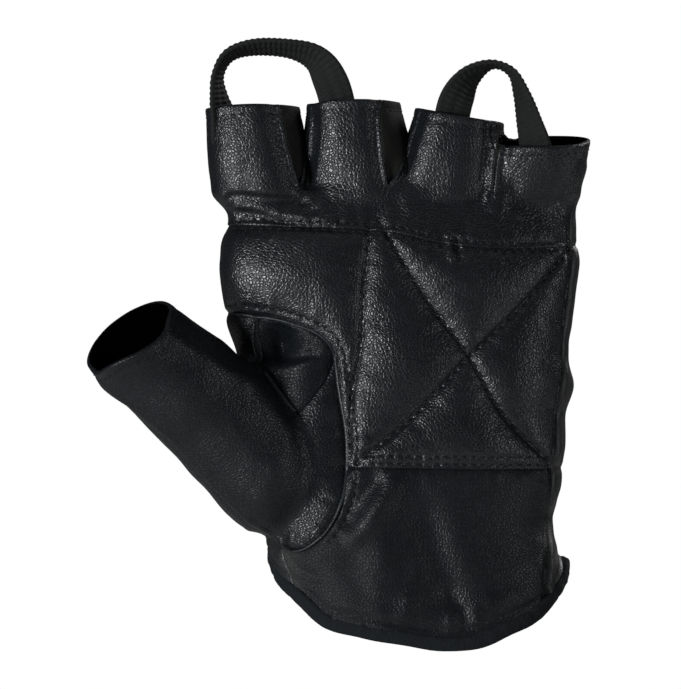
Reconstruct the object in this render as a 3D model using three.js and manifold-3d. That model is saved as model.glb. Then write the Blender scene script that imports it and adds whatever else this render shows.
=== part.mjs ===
import * as THREE from "three";
import { mergeVertices } from "three/addons/utils/BufferGeometryUtils.js";
import Module from "manifold-3d";

// A fingerless leather riding glove for the left hand, filled out as it is when worn.
// Millimetres, +Z towards the fingertips. The palm faces -Y and the thumb points to -X.
// The origin is the middle of the wrist opening, on the axis of the hand that holds the glove up.

// Driving dimensions
const WALL = 2; // leather with its thin backing
const GAP = 0.3; // clearance in every seam between two pieces
const FAR = 150; // reach of the cutting prisms, well past the glove

const DIVIDER_Y = 6; // depth at which the palm leather meets the back leather
const SIDE_X = 30; // beyond this the palm leather only covers the front
const STALL_EDGE_Y = -7; // depth at which a stall's front leather meets the side wall beside it
const SIDE_SEAM_INSET = 3.4; // the little-finger side seam lies this far inside the outline
const THUMB_SEAM_INSET = 3.6; // and the thumb's outer seam this far inside the thumb's outline

const WEB_Z = 103; // bottom of the slots between the fingers
const SIDE_WALL_REACH = 13; // how far past the slot the side wall goes round the next finger
const ROOT_Z = 88; // where the finger tubes start inside the hand tube
const ROOT_SQUEEZE = 0.72; // and how much narrower they are there
const STALL_BELLY = 0.5; // the stalls swell this much half-way up

const PAD_EDGE = 0.5; // the padded patch stands out this far at its edges
const PUFF = 2.4; // and this much more between its stitched channels
const RISE = 7; // distance from a channel over which it swells
const CHANNEL = 1.6; // width of a stitched channel

const HEM_Z = -2.2; // highest level of the wrist hem, a little behind the sides
const HEM_TURN_Y = 6; // depth of that level
const HEM_FRONT_DIP = 22.2; // how much lower the hem is in the middle of the palm side
const HEM_BACK_DIP = 4; // and in the middle of the back
const HEM_SKEW = 0.03; // it falls towards the little finger, mm per mm
const BINDING = 4; // visible height of the wrist binding
const BINDING_PROUD = 0.9; // how far it stands out from the leather, on both faces

const WELT = 1.6; // width of the raised welts in the thumb's seams
const WELT_PROUD = 0.8;
const SLOT = WELT + 2 * GAP; // opening in the leather that holds a welt

const TAPE = { wide: 10.5, thick: 1.8, steps: 22 }; // woven tape of the pull loops
const TAB = { left: -27, right: 30, low: 4, high: 26, thick: 2.2 }; // wrist closure on the back

const SIDES = { palm: 18, back: 10, finger: 16, thumb: 18 };
const FINGER_POWER = 2.5;
const THUMB_POWER = 2.2;

// The hand tube, a row for each section: its outline left and right, depth of palm and back,
// and how squarish it is.
const HAND = [
  { z: -36, left: -41.0, right: 41.5, front: 25.0, back: 22.0, power: 2.2 },
  { z: -14, left: -42.0, right: 41.8, front: 25.5, back: 22.0, power: 2.2 },
  { z: -3, left: -42.6, right: 41.7, front: 25.0, back: 21.5, power: 2.25 },
  { z: 4, left: -43.5, right: 38.6, front: 24.0, back: 20.0, power: 2.3 },
  { z: 11, left: -45.0, right: 37.1, front: 23.5, back: 19.0, power: 2.35 },
  { z: 20, left: -46.5, right: 39.2, front: 23.5, back: 18.5, power: 2.4 },
  { z: 32, left: -48.0, right: 40.6, front: 23.0, back: 18.5, power: 2.45 },
  { z: 41, left: -49.0, right: 41.2, front: 22.0, back: 18.5, power: 2.5 },
  { z: 49, left: -50.0, right: 42.9, front: 21.5, back: 18.5, power: 2.5 },
  { z: 58, left: -51.6, right: 41.7, front: 21.0, back: 18.5, power: 2.5 },
  { z: 68, left: -54.2, right: 42.7, front: 20.0, back: 18.5, power: 2.5 },
  { z: 84, left: -56.0, right: 45.1, front: 18.5, back: 18.0, power: 2.6 },
  { z: 91, left: -55.0, right: 43.4, front: 17.0, back: 17.0, power: 2.6 },
  { z: 95, left: -54.0, right: 43.2, front: 15.0, back: 15.5, power: 2.6 },
  { z: 99, left: -56.4, right: 44.2, front: 13.5, back: 14.0, power: 2.6 },
  { z: WEB_Z, left: -57.2, right: 44.8, front: 11.5, back: 12.0, power: 2.6 },
];

// The finger stalls, from the index finger to the little finger: outline, and depth of the middle,
// at the web and at the rim.
const STALL_OUTLINES = [
  { webLeft: -58.6, webRight: -31.4, webY: 0.5, rimLeft: -60.2, rimRight: -33.6, rimY: 1.5 },
  { webLeft: -32.4, webRight: -5.2, webY: 0.5, rimLeft: -31.4, rimRight: -5.2, rimY: 1.5 },
  { webLeft: -8.4, webRight: 21.0, webY: 0, rimLeft: -1.9, rimRight: 23.0, rimY: -0.5 },
  { webLeft: 20.6, webRight: 45.2, webY: 0, rimLeft: 23.3, rimRight: 47.9, rimY: -4 },
];

// Height of a stall's rim at its left and right ends, how it rises towards the back, half depth of
// the stall, and its turn about its own axis in degrees.
const STALL_RIMS = [
  { left: 127.2, right: 127.6, rise: 0, half: 12.8, turn: 13 },
  { left: 127.8, right: 128.6, rise: 0, half: 13.2, turn: 14 },
  { left: 126.9, right: 122.8, rise: 0, half: 13, turn: 12 },
  { left: 115.4, right: 116.2, rise: 0.2, half: 12, turn: 6 },
];

// The thumb tube from its rim to its root in the palm: upper (u) and lower (l) ends of the outline,
// depth of its middle, half depth, and how far the section leans back, in degrees.
const THUMB = [
  { ux: -69.7, uz: 71.7, lx: -92.2, lz: 52.3, y: -24, half: 12.5, lean: 31 },
  { ux: -63.9, uz: 67.5, lx: -84.4, lz: 44.6, y: -21, half: 13.2, lean: 27 },
  { ux: -57.5, uz: 62.9, lx: -76.4, lz: 36.8, y: -18, half: 14.2, lean: 23 },
  { ux: -51.5, uz: 58.6, lx: -68.8, lz: 29.2, y: -14.5, half: 15.4, lean: 18 },
  { ux: -46.6, uz: 54.6, lx: -61.0, lz: 20.8, y: -11.5, half: 16.8, lean: 13 },
  { ux: -40.2, uz: 48.2, lx: -53.2, lz: 12.4, y: -9, half: 17.6, lean: 8 },
  { ux: -33.4, uz: 41.6, lx: -45.6, lz: 8.2, y: -7, half: 18, lean: 4 },
  { ux: -25.0, uz: 32.0, lx: -33.0, lz: 8.6, y: -6, half: 17.8, lean: 0 },
];

// The side walls between the fingers: front edge on the near finger, and middle of the slot
const SLOT_INDEX_MIDDLE = [
  { z: WEB_Z, edge: -33.2, slot: -31.9 },
  { z: 118, edge: -36.4, slot: -32.2 },
  { z: 128, edge: -38.6, slot: -32.5 },
];
const SLOT_MIDDLE_RING = [
  { z: WEB_Z, edge: -9.0, slot: -7.4 },
  { z: 114.5, edge: -10.0, slot: -4.6 },
  { z: 128, edge: -10.9, slot: -3.4 },
];
const SLOT_RING_LITTLE = [
  { z: WEB_Z, edge: 20.0, slot: 20.8 },
  { z: 115, edge: 20.6, slot: 22.5 },
  { z: 123, edge: 21.2, slot: 23.2 },
];

// Seam under the fingers, from the index side to the little-finger side
const BAND_SEAM = [
  { x: -66, z: 98.2 },
  { x: -50, z: 97.6 },
  { x: -28, z: 94.3 },
  { x: -10, z: 92.4 },
  { x: 6, z: 88.6 },
  { x: 20, z: 87.4 },
  { x: 50, z: 88.4 },
];

// Seam round the thumb on the palm side, from the crotch to the wrist, and on the back
const THUMB_ARC = [
  { x: -56.5, z: 69.2 },
  { x: -50, z: 68.5 },
  { x: -36, z: 66.2 },
  { x: -25.6, z: 60.6 },
  { x: -22.6, z: 48.2 },
  { x: -20.4, z: 31 },
  { x: -22.2, z: 16.5 },
  { x: -29, z: 5.6 },
  { x: -35.6, z: 2.6 },
  { x: -41.5, z: 5.2 },
  { x: -50, z: 6.2 },
];
const THUMB_BACK_ARC = [
  { x: -56.5, z: 69.2 },
  { x: -50, z: 66 },
  { x: -42, z: 54 },
  { x: -35, z: 38 },
  { x: -32, z: 22 },
  { x: -36.5, z: 9 },
  { x: -42, z: 6.2 },
  { x: -50, z: 6.2 },
];

// The crotch gusset's left edge down to its tip, and its right edge up to the thumb seam
const GUSSET_LEFT = [
  { x: -46.6, z: 67.4 },
  { x: -47.6, z: 61 },
  { x: -45.6, z: 55 },
  { x: -40.3, z: 47.8 },
  { x: -34.2, z: 40.9 },
];
const GUSSET_RIGHT = [
  { x: -34.2, z: 40.9 },
  { x: -28.6, z: 47.2 },
  { x: -23.7, z: 53.4 },
];

// Lower edge of the padded patch, and its stitched channels: one upright and an X
const PAD_BOTTOM = [
  { x: -24, z: 27.2 },
  { x: 0, z: 26.8 },
  { x: 48, z: 25.8 },
];
const CHANNELS = [
  [{ x: -13.6, z: 96 }, { x: -16.2, z: 72.5 }, { x: -16.6, z: 62 }, { x: -19.6, z: 44 }, { x: -19.8, z: 24 }],
  [{ x: -12, z: 96 }, { x: 1.7, z: 73.1 }, { x: 13.7, z: 57.1 }, { x: 23, z: 41.2 }, { x: 38, z: 26 }],
  [{ x: 43, z: 88 }, { x: 28, z: 70.6 }, { x: 13.7, z: 57.1 }, { x: -2, z: 40.4 }, { x: -21, z: 25 }],
];

// Where the heel leather meets the back leather below the thumb
const HEEL_SIDE = [
  { x: -39.0, z: 3.4 },
  { x: -35, z: -8 },
  { x: -33, z: -40 },
];

// Soft folds and creases pressed into the palm side
const FOLDS = [
  { x0: -13, z0: 22, x1: -1, z1: -14, width: 6, depth: 1.1 },
  { x0: 12, z0: 24, x1: 9, z1: -22, width: 5, depth: 0.7 },
  { x0: 31, z0: 20, x1: 22, z1: -16, width: 6, depth: 0.8 },
  { x0: 21.4, z0: 106, x1: 23, z1: 92, width: 4, depth: 1.2 },
  { x0: -8.8, z0: 106, x1: -4, z1: 94, width: 4, depth: 0.9 },
  { x0: -32.2, z0: 106, x1: -31, z1: 98, width: 4, depth: 0.8 },
];

// Pull loops: the tape's middle line, and its turn out of the plane of the palm in degrees
const LOOP_INDEX_MIDDLE = [
  { x: -53.6, y: -5.6, z: 117, turn: 14 },
  { x: -54.4, y: -5.6, z: 123, turn: 36 },
  { x: -56.0, y: -5.2, z: 129.4, turn: 62 },
  { x: -56.8, y: -5.4, z: 136.2, turn: 76 },
  { x: -53.8, y: -6.0, z: 141.9, turn: 74 },
  { x: -46.0, y: -6.8, z: 143.7, turn: 68 },
  { x: -36.0, y: -7.4, z: 143.2, turn: 62 },
  { x: -29.2, y: -8.0, z: 140.2, turn: 40 },
  { x: -25.4, y: -8.4, z: 133.8, turn: 12 },
  { x: -23.2, y: -8.4, z: 126, turn: 4 },
  { x: -22.6, y: -8.2, z: 117, turn: 2 },
];
const LOOP_RING_LITTLE = [
  { x: 8.4, y: -10.0, z: 114, turn: 2 },
  { x: 8.8, y: -10.0, z: 123, turn: 6 },
  { x: 10.0, y: -10.0, z: 130, turn: 18 },
  { x: 13.4, y: -9.8, z: 136.2, turn: 52 },
  { x: 20.0, y: -9.4, z: 139.0, turn: 82 },
  { x: 25.6, y: -9.2, z: 136.6, turn: 82 },
  { x: 28.1, y: -9.2, z: 130.6, turn: 68 },
  { x: 30.4, y: -9.8, z: 122.4, turn: 46 },
  { x: 32.4, y: -10.8, z: 114, turn: 22 },
  { x: 33.0, y: -11.2, z: 105, turn: 4 },
];

const wasm = await Module();
wasm.setup();
const { lerp, clamp, degToRad, smoothstep } = THREE.MathUtils;

// A closed geometry as a solid that can be cut and joined
function solidOf(geometry) {
  const bare = geometry.clone();
  bare.deleteAttribute("normal");
  bare.deleteAttribute("uv");
  const merged = mergeVertices(bare, 1e-4);
  return new wasm.Manifold(
    new wasm.Mesh({
      numProp: 3,
      vertProperties: new Float32Array(merged.attributes.position.array),
      triVerts: new Uint32Array(merged.index.array),
    }),
  );
}

function geometryOf(solid) {
  const mesh = solid.getMesh();
  const geometry = new THREE.BufferGeometry();
  geometry.setAttribute("position", new THREE.BufferAttribute(mesh.vertProperties, 3));
  geometry.setIndex(new THREE.BufferAttribute(mesh.triVerts, 1));
  const faceted = geometry.toNonIndexed();
  faceted.computeVertexNormals();
  return faceted;
}

function joined(solids) {
  return solids.reduce((all, next) => all.add(next));
}

// A closed skin through rings of points, with a fan over each end. The rings follow each other in
// the direction in which their points run clockwise.
function skin(rings) {
  const sides = rings[0].length;
  const last = (rings.length - 1) * sides;
  const points = rings.flat();
  const hubs = [rings[0], rings.at(-1)].map((ring) => {
    const sum = ring.reduce((all, p) => all.add(p), new THREE.Vector3());
    return points.push(sum.divideScalar(sides)) - 1;
  });
  const faces = [];
  for (let i = 0; i < sides; i++) {
    const next = (i + 1) % sides;
    for (let start = 0; start < last; start += sides) {
      const [a, b] = [start + i, start + next];
      faces.push(a, b + sides, b, a, a + sides, b + sides);
    }
    faces.push(hubs[0], i, next, hubs[1], last + next, last + i);
  }
  const geometry = new THREE.BufferGeometry().setFromPoints(points);
  geometry.setIndex(faces);
  return solidOf(geometry);
}

// The point of a rounded, squarish section at an angle, as shares of its half width and half depth
function squarish(angle, power) {
  const bend = (v) => Math.sign(v) * Math.abs(v) ** (2 / power);
  return [bend(Math.cos(angle)), bend(Math.sin(angle))];
}

function evenAngles(count, from = 0, to = 2 * Math.PI) {
  return Array.from({ length: count }, (_, i) => from + ((to - from) * i) / count);
}

// Distance in the palm's plane from a point to a line of points
function distanceTo(line, x, z) {
  let nearest = Infinity;
  for (let i = 0; i + 1 < line.length; i++) {
    const [ax, az] = line[i];
    const [dx, dz] = [line[i + 1][0] - ax, line[i + 1][1] - az];
    const along = clamp(((x - ax) * dx + (z - az) * dz) / (dx * dx + dz * dz), 0, 1);
    nearest = Math.min(nearest, Math.hypot(x - ax - along * dx, z - az - along * dz));
  }
  return nearest;
}

function foldDepth(x, z) {
  let depth = 0;
  for (const fold of FOLDS) {
    const away = distanceTo([[fold.x0, fold.z0], [fold.x1, fold.z1]], x, z);
    depth += fold.depth * Math.exp(-((away / fold.width) ** 2));
  }
  return depth;
}

// The hand table's row at a height, straight between its neighbours
function handRow(z) {
  const upper = HAND.findIndex((row) => row.z >= z);
  const share = (z - HAND[upper - 1].z) / (HAND[upper].z - HAND[upper - 1].z);
  const mixed = Object.keys(HAND[0]).map((key) => [key, lerp(HAND[upper - 1][key], HAND[upper][key], share)]);
  return Object.fromEntries(mixed);
}

// A ring of the hand tube. Angle 0 is the little-finger side, a quarter turn the middle of the palm.
function handRing(row, grow, angles, swell) {
  const middle = (row.left + row.right) / 2;
  const half = (row.right - row.left) / 2 + grow;
  return angles.map((angle) => {
    const [across, deep] = squarish(angle, row.power);
    const depth = (deep > 0 ? row.front : row.back) + grow;
    const [x, y] = [middle + half * across, -depth * deep];
    const out = new THREE.Vector2(across / half, -deep / depth).normalize();
    const push = swell(x, row.z) * smoothstep(deep, 0, 0.6);
    return new THREE.Vector3(x + out.x * push, y + out.y * push, row.z);
  });
}

const palmAngles = evenAngles(SIDES.palm, 0, Math.PI);
const backAngles = evenAngles(SIDES.back, Math.PI, 2 * Math.PI);

function handForm(grow) {
  const angles = [...palmAngles, ...backAngles];
  const press = (x, z) => -foldDepth(x, z);
  const rings = HAND.map((row) => handRing(row, grow, angles, press));
  const top = { ...HAND.at(-1), z: WEB_Z + grow };
  rings[rings.length - 1] = handRing(top, grow, angles, press);
  return skin(rings);
}

// A ring of a finger stall at a share of the way from the web (0) to the rim (1)
function stallRing(outline, rim, share, grow, lift = 0, squeeze = 1) {
  const left = lerp(outline.webLeft, outline.rimLeft, share);
  const right = lerp(outline.webRight, outline.rimRight, share);
  const level = lerp(WEB_Z, (rim.left + rim.right) / 2, share) + lift;
  const middle = new THREE.Vector3((left + right) / 2, lerp(outline.webY, outline.rimY, share), level);
  const tilt = clamp(share, 0, 1);
  const slope = (tilt * (rim.right - rim.left)) / (outline.rimRight - outline.rimLeft);
  const belly = STALL_BELLY * Math.sin(Math.PI * tilt);
  const width = ((right - left) / 2) * squeeze + grow + belly;
  const depth = rim.half * squeeze + grow + belly;
  return evenAngles(SIDES.finger).map((angle) => {
    const [across, deep] = squarish(angle, FINGER_POWER);
    const p = new THREE.Vector3(width * across, -depth * deep, 0);
    p.applyAxisAngle(new THREE.Vector3(0, 0, 1), -degToRad(rim.turn));
    p.z = slope * p.x + tilt * rim.rise * p.y;
    return p.add(middle);
  });
}

function stallForm(outline, rim, grow, pastRim) {
  const root = (ROOT_Z - WEB_Z) / ((rim.left + rim.right) / 2 - WEB_Z);
  const rings = [stallRing(outline, rim, root, grow, 0, ROOT_SQUEEZE)];
  for (const share of [0, 0.35, 0.7, 1]) rings.push(stallRing(outline, rim, share, grow));
  if (pastRim) rings.push(stallRing(outline, rim, 1, grow, pastRim));
  return skin(rings);
}

// A ring of the thumb tube. Its plane holds the line between both outlines and leans back.
function thumbRing(row, grow, shift = 0) {
  const upper = new THREE.Vector3(row.ux, row.y, row.uz);
  const lower = new THREE.Vector3(row.lx, row.y, row.lz);
  const across = upper.clone().sub(lower).normalize();
  const back = new THREE.Vector3(0, 1, 0).applyAxisAngle(across, degToRad(row.lean));
  const axis = new THREE.Vector3().crossVectors(across, back);
  const half = upper.distanceTo(lower) / 2 + grow;
  const middle = upper.add(lower).divideScalar(2).addScaledVector(axis, shift);
  return evenAngles(SIDES.thumb).map((angle) => {
    const [u, v] = squarish(angle, THUMB_POWER);
    return middle.clone().addScaledVector(across, half * u).addScaledVector(back, (row.half + grow) * v);
  });
}

function thumbForm(grow, pastRim) {
  const rings = THUMB.map((row) => thumbRing(row, grow));
  if (pastRim) rings.unshift(thumbRing(THUMB[0], grow, pastRim));
  return skin(rings);
}

// The whole form grown by a margin. It runs past the open rims by pastRim.
function gloveForm(grow, pastRim = 0) {
  const stalls = STALL_OUTLINES.map((outline, i) => stallForm(outline, STALL_RIMS[i], grow, pastRim));
  return joined([handForm(grow), thumbForm(grow, pastRim), ...stalls]);
}

const pointsOf = (table) => table.map(({ x, z }) => [x, z]);

// A smooth line through the points of a table
function smooth(table, count) {
  const curve = new THREE.SplineCurve(table.map(({ x, z }) => new THREE.Vector2(x, z)));
  return curve.getSpacedPoints(count).map((p) => p.toArray());
}

// A prism with its outline in the palm's plane, from one depth to another
function prism(outline, y0 = -FAR, y1 = FAR) {
  const shape = new THREE.Shape(outline.map(([x, z]) => new THREE.Vector2(x, z)));
  const geometry = new THREE.ExtrudeGeometry(shape, { depth: y1 - y0, bevelEnabled: false });
  return solidOf(geometry.rotateX(Math.PI / 2).translate(0, y1, 0));
}

// A prism with its outline in plan, over the whole height
function planPrism(outline) {
  const shape = new THREE.Shape(outline.map(([x, y]) => new THREE.Vector2(x, y)));
  const geometry = new THREE.ExtrudeGeometry(shape, { depth: 2 * FAR, bevelEnabled: false });
  return solidOf(geometry.translate(0, 0, -FAR));
}

function block(x0, x1, y0, y1, z0, z1) {
  const box = new THREE.BoxGeometry(x1 - x0, y1 - y0, z1 - z0);
  return solidOf(box.translate((x0 + x1) / 2, (y0 + y1) / 2, (z0 + z1) / 2));
}

// The prism of a strip along a line
function ribbon(line, width, y0, y1) {
  const points = line.map(([x, z]) => new THREE.Vector2(x, z));
  const edge = points.map((p, i) => {
    const along = points[Math.min(i + 1, points.length - 1)].clone().sub(points[Math.max(i - 1, 0)]);
    return new THREE.Vector2(-along.y, along.x).setLength(width / 2);
  });
  const left = points.map((p, i) => p.clone().add(edge[i]).toArray());
  const right = points.map((p, i) => p.clone().sub(edge[i]).toArray());
  return prism([...left, ...right.reverse()], y0, y1);
}

// Everything below a surface that is lowest in the middle of the palm side
function belowHem(raise) {
  const profile = [];
  for (let y = -34; y <= 31; y += 5) {
    const front = Math.max(0, (HEM_TURN_Y - y) / (HEM_TURN_Y + HAND[1].front));
    const back = Math.max(0, (y - HEM_TURN_Y) / (HAND[1].back - HEM_TURN_Y));
    const dip = HEM_FRONT_DIP * front ** 1.35 + HEM_BACK_DIP * back ** 1.5;
    profile.push(new THREE.Vector2(y, HEM_Z - dip + raise));
  }
  const shape = new THREE.Shape([...profile, new THREE.Vector2(40, -FAR), new THREE.Vector2(-40, -FAR)]);
  const geometry = new THREE.ExtrudeGeometry(shape, { depth: 2 * FAR, bevelEnabled: false });
  geometry.rotateX(Math.PI / 2).rotateZ(Math.PI / 2).translate(-FAR, 0, 0);
  return solidOf(geometry.rotateY(Math.atan(HEM_SKEW)));
}

// Swelling of the padded patch, least along its edges and channels
const bandSeam = smooth(BAND_SEAM, 18);
const thumbArc = smooth(THUMB_ARC, 22);
const sideSeam = [
  [STALL_OUTLINES[3].rimRight - SIDE_SEAM_INSET, FAR],
  [STALL_OUTLINES[3].webRight - SIDE_SEAM_INSET, WEB_Z],
  ...HAND.filter((row) => row.z < WEB_Z).map((row) => [row.right - SIDE_SEAM_INSET, row.z]).reverse(),
  [HAND[0].right - SIDE_SEAM_INSET, -FAR],
];
const padEdges = [bandSeam, thumbArc, pointsOf(PAD_BOTTOM), sideSeam, ...CHANNELS.map(pointsOf)];

function padSwell(x, z) {
  const away = Math.min(...padEdges.map((line) => distanceTo(line, x, z)));
  return PAD_EDGE + PUFF * (1 - Math.exp(-away / RISE) ** 1.5);
}

function paddedForm() {
  const palm = evenAngles(28, degToRad(-10), degToRad(190));
  const angles = [...palm, ...evenAngles(6, degToRad(190), degToRad(350))];
  const rings = [];
  for (let z = 22; z <= 102; z += 4) rings.push(handRing(handRow(z), 0, angles, padSwell));
  return skin(rings);
}

// The side wall between two fingers runs from the near finger's front edge over the bottom of the
// slot between them to the far finger.
function sideWall(table, grow) {
  const all = [{ ...table[0], z: WEB_Z - 5 - grow }, ...table, { ...table.at(-1), z: FAR }];
  const near = all.map((row) => [row.edge - grow, row.z]);
  const slot = all.map((row) => [row.slot, row.z]);
  const far = all.map((row) => [row.slot + SIDE_WALL_REACH, row.z]);
  const frontPart = prism([...near, ...slot.toReversed()], -FAR, DIVIDER_Y);
  return frontPart.add(prism([...slot, ...far.toReversed()], STALL_EDGE_Y - grow, DIVIDER_Y));
}

// Seams of the thumb: outer seam on the palm side, and the prisms of its region
const thumbSeam = THUMB.slice(0, 7).map((row) => {
  const across = new THREE.Vector2(row.ux - row.lx, row.uz - row.lz).setLength(THUMB_SEAM_INSET);
  return [row.lx + across.x, row.lz + across.y];
});
thumbSeam.unshift([2 * thumbSeam[0][0] - thumbSeam[1][0], 2 * thumbSeam[0][1] - thumbSeam[1][1]]);
const thumbBackArc = smooth(THUMB_BACK_ARC, 14);
thumbSeam.push([-41, 5.1]);
const thumbSide = [[-60, 6.2], [-FAR, 6.2], [-FAR, FAR], [-64, FAR], [-62, 69.6]];
const inThumb = prism([...thumbArc, ...thumbSide], -FAR, DIVIDER_Y).add(
  prism([...thumbBackArc, ...thumbSide], DIVIDER_Y, FAR),
);
const thumbMiddle = THUMB.map((row) => [row.lx, row.y]);
const thumbFront = planPrism([[-FAR, -FAR], [-FAR, THUMB[0].y], ...thumbMiddle, [0, THUMB[7].y], [0, -FAR]]);

const heelSide = pointsOf(HEEL_SIDE);
const palmOutline = [...sideSeam, ...heelSide.toReversed(), [-42, 5.3], [-FAR, 6.2], [-FAR, FAR]];
const palmSide = prism(palmOutline, -FAR, DIVIDER_Y).subtract(block(SIDE_X, FAR, 0, FAR, -FAR, FAR));
const aboveBand = prism([...bandSeam, [60, FAR], [-66, FAR]]);
const belowPad = prism([...pointsOf(PAD_BOTTOM), [60, -FAR], [-60, -FAR], [-60, 27.2]]);
const gussetLeft = smooth(GUSSET_LEFT, 8);
const gussetRight = pointsOf(GUSSET_RIGHT);
const inGusset = prism([...gussetLeft, ...gussetRight.slice(1), [-18, 75], [-46, 75]], -FAR, DIVIDER_Y);

// The wall of the glove, opened along its seams and hem
const inner = gloveForm(-WALL, 4);
const form = gloveForm(0);
const seams = joined([
  ribbon(bandSeam, GAP, -FAR, DIVIDER_Y + GAP / 2),
  ribbon(sideSeam, GAP, -FAR, 0),
  ribbon(heelSide, GAP, -FAR, 0),
  ribbon(pointsOf(PAD_BOTTOM), GAP, -FAR, 0),
  ribbon(thumbArc, SLOT, -FAR, DIVIDER_Y + GAP / 2),
  ribbon(thumbBackArc, GAP, DIVIDER_Y - GAP / 2, FAR),
  ribbon(gussetLeft, SLOT, -FAR, 0),
  ribbon(gussetRight, GAP, -FAR, 0),
  ribbon(thumbSeam, GAP, -FAR, FAR).intersect(thumbFront),
  block(-FAR, SIDE_X, DIVIDER_Y - GAP / 2, DIVIDER_Y + GAP / 2, 69.2, FAR),
]);
const opened = seams.add(belowHem(BINDING + GAP)).add(inner);
const wall = form.subtract(opened);
const channels = joined(CHANNELS.map((line) => ribbon(pointsOf(line), CHANNEL, -FAR, 0)));
const padWall = paddedForm().subtract(channels.subtract(form)).subtract(opened);

// Raised welts, wrist binding, pull loops and the closure on the back of the wrist
const weltWall = gloveForm(WELT_PROUD).subtract(inner);
const thumbWelt = ribbon(thumbArc, WELT, -FAR, DIVIDER_Y - GAP / 2).intersect(weltWall);
const gussetWelt = ribbon(gussetLeft, WELT, -FAR, -GAP).intersect(weltWall);
const arcSlot = ribbon(thumbArc, SLOT, -FAR, DIVIDER_Y);
const bindingWall = handForm(BINDING_PROUD).subtract(handForm(-WALL - BINDING_PROUD));
const binding = bindingWall.intersect(belowHem(BINDING)).subtract(belowHem(0));
const tabWall = handForm(GAP + TAB.thick).subtract(handForm(GAP));
const tab = tabWall.intersect(block(TAB.left, TAB.right, 0, FAR, TAB.low, TAB.high));
const clearance = gloveForm(GAP).subtract(gloveForm(-WALL - GAP, 4));

function strap(table) {
  const curve = new THREE.CatmullRomCurve3(table.map(({ x, y, z }) => new THREE.Vector3(x, y, z)));
  const rings = [];
  for (let i = 0; i <= TAPE.steps; i++) {
    const t = i / TAPE.steps;
    const place = t * (table.length - 1);
    const row = Math.min(Math.floor(place), table.length - 2);
    const turn = degToRad(lerp(table[row].turn, table[row + 1].turn, place - row));
    const along = curve.getTangent(t);
    const across = new THREE.Vector3().crossVectors(along, new THREE.Vector3(0, 1, 0)).normalize();
    across.applyAxisAngle(along, turn).multiplyScalar(TAPE.wide / 2);
    const out = new THREE.Vector3().crossVectors(along, across).setLength(TAPE.thick / 2);
    const corners = [[1, 1], [1, -1], [-1, -1], [-1, 1]];
    rings.push(
      corners.map(([w, n]) => curve.getPoint(t).addScaledVector(across, w).addScaledVector(out, n)),
    );
  }
  return skin(rings).subtract(clearance);
}

// Looks of the materials
const leather = { color: 0x17191c, roughness: 0.5, metalness: 0 };
const sideCloth = { color: 0x1b1c1a, roughness: 0.8, metalness: 0 };
const bindingCloth = { color: 0x15161a, roughness: 0.85, metalness: 0 };
const tape = { color: 0x131313, roughness: 0.9, metalness: 0 };

const glove = new THREE.Group();
function addPiece(name, solid, look) {
  const mesh = new THREE.Mesh(geometryOf(solid), new THREE.MeshStandardMaterial(look));
  mesh.name = name;
  glove.add(mesh);
}

const palmWall = wall.intersect(palmSide);
const slots = {
  fourchette_index_middle: SLOT_INDEX_MIDDLE,
  fourchette_middle_ring: SLOT_MIDDLE_RING,
  fourchette_ring_little: SLOT_RING_LITTLE,
};
const sideWalls = joined(Object.values(slots).map((table) => sideWall(table, GAP / 2)));
const padRegion = palmSide.subtract(aboveBand.add(inThumb).add(belowPad));

addPiece("finger_panel", palmWall.intersect(aboveBand).subtract(sideWalls), leather);
addPiece("palm_pad", padWall.intersect(padRegion), leather);
addPiece("heel_panel", palmWall.intersect(belowPad).subtract(inThumb), leather);
addPiece("thumb_panel", wall.intersect(inThumb).subtract(inGusset), leather);
addPiece("thumb_gusset", wall.intersect(inThumb).intersect(inGusset), leather);
addPiece("back_panel", wall.subtract(palmSide).subtract(inThumb), leather);
for (const [name, table] of Object.entries(slots)) {
  addPiece(name, palmWall.intersect(sideWall(table, -GAP / 2)), sideCloth);
}
addPiece("thumb_piping", thumbWelt, leather);
addPiece("gusset_piping", gussetWelt.subtract(arcSlot), leather);
addPiece("wrist_binding", binding, bindingCloth);
addPiece("closure_tab", tab, leather);
addPiece("pull_loop_index_middle", strap(LOOP_INDEX_MIDDLE), tape);
addPiece("pull_loop_ring_little", strap(LOOP_RING_LITTLE), tape);

export default glove;
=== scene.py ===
import math

import bpy
import numpy as np
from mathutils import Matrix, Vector
from mathutils.bvhtree import BVHTree


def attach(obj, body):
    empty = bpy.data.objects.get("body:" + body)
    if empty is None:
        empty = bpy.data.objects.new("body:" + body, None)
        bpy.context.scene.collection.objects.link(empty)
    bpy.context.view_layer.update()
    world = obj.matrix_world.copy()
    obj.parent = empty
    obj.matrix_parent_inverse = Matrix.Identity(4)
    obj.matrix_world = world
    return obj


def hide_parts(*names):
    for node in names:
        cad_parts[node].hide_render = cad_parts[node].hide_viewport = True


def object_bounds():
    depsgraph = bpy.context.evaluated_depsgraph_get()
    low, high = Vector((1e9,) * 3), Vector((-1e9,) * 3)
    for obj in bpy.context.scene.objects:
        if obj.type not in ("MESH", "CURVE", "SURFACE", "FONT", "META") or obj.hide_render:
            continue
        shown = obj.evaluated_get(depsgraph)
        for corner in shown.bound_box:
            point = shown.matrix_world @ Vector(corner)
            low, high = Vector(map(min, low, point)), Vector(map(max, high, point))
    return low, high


# The looks of the fingerless riding glove: leather panels with their seams, stitches and puckers,
# a padded palm, cloth side walls, woven pull loops and a bound wrist.
# Lengths are in millimetres until a mesh is made. +Z is towards the fingertips, the palm faces -Y.

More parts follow.
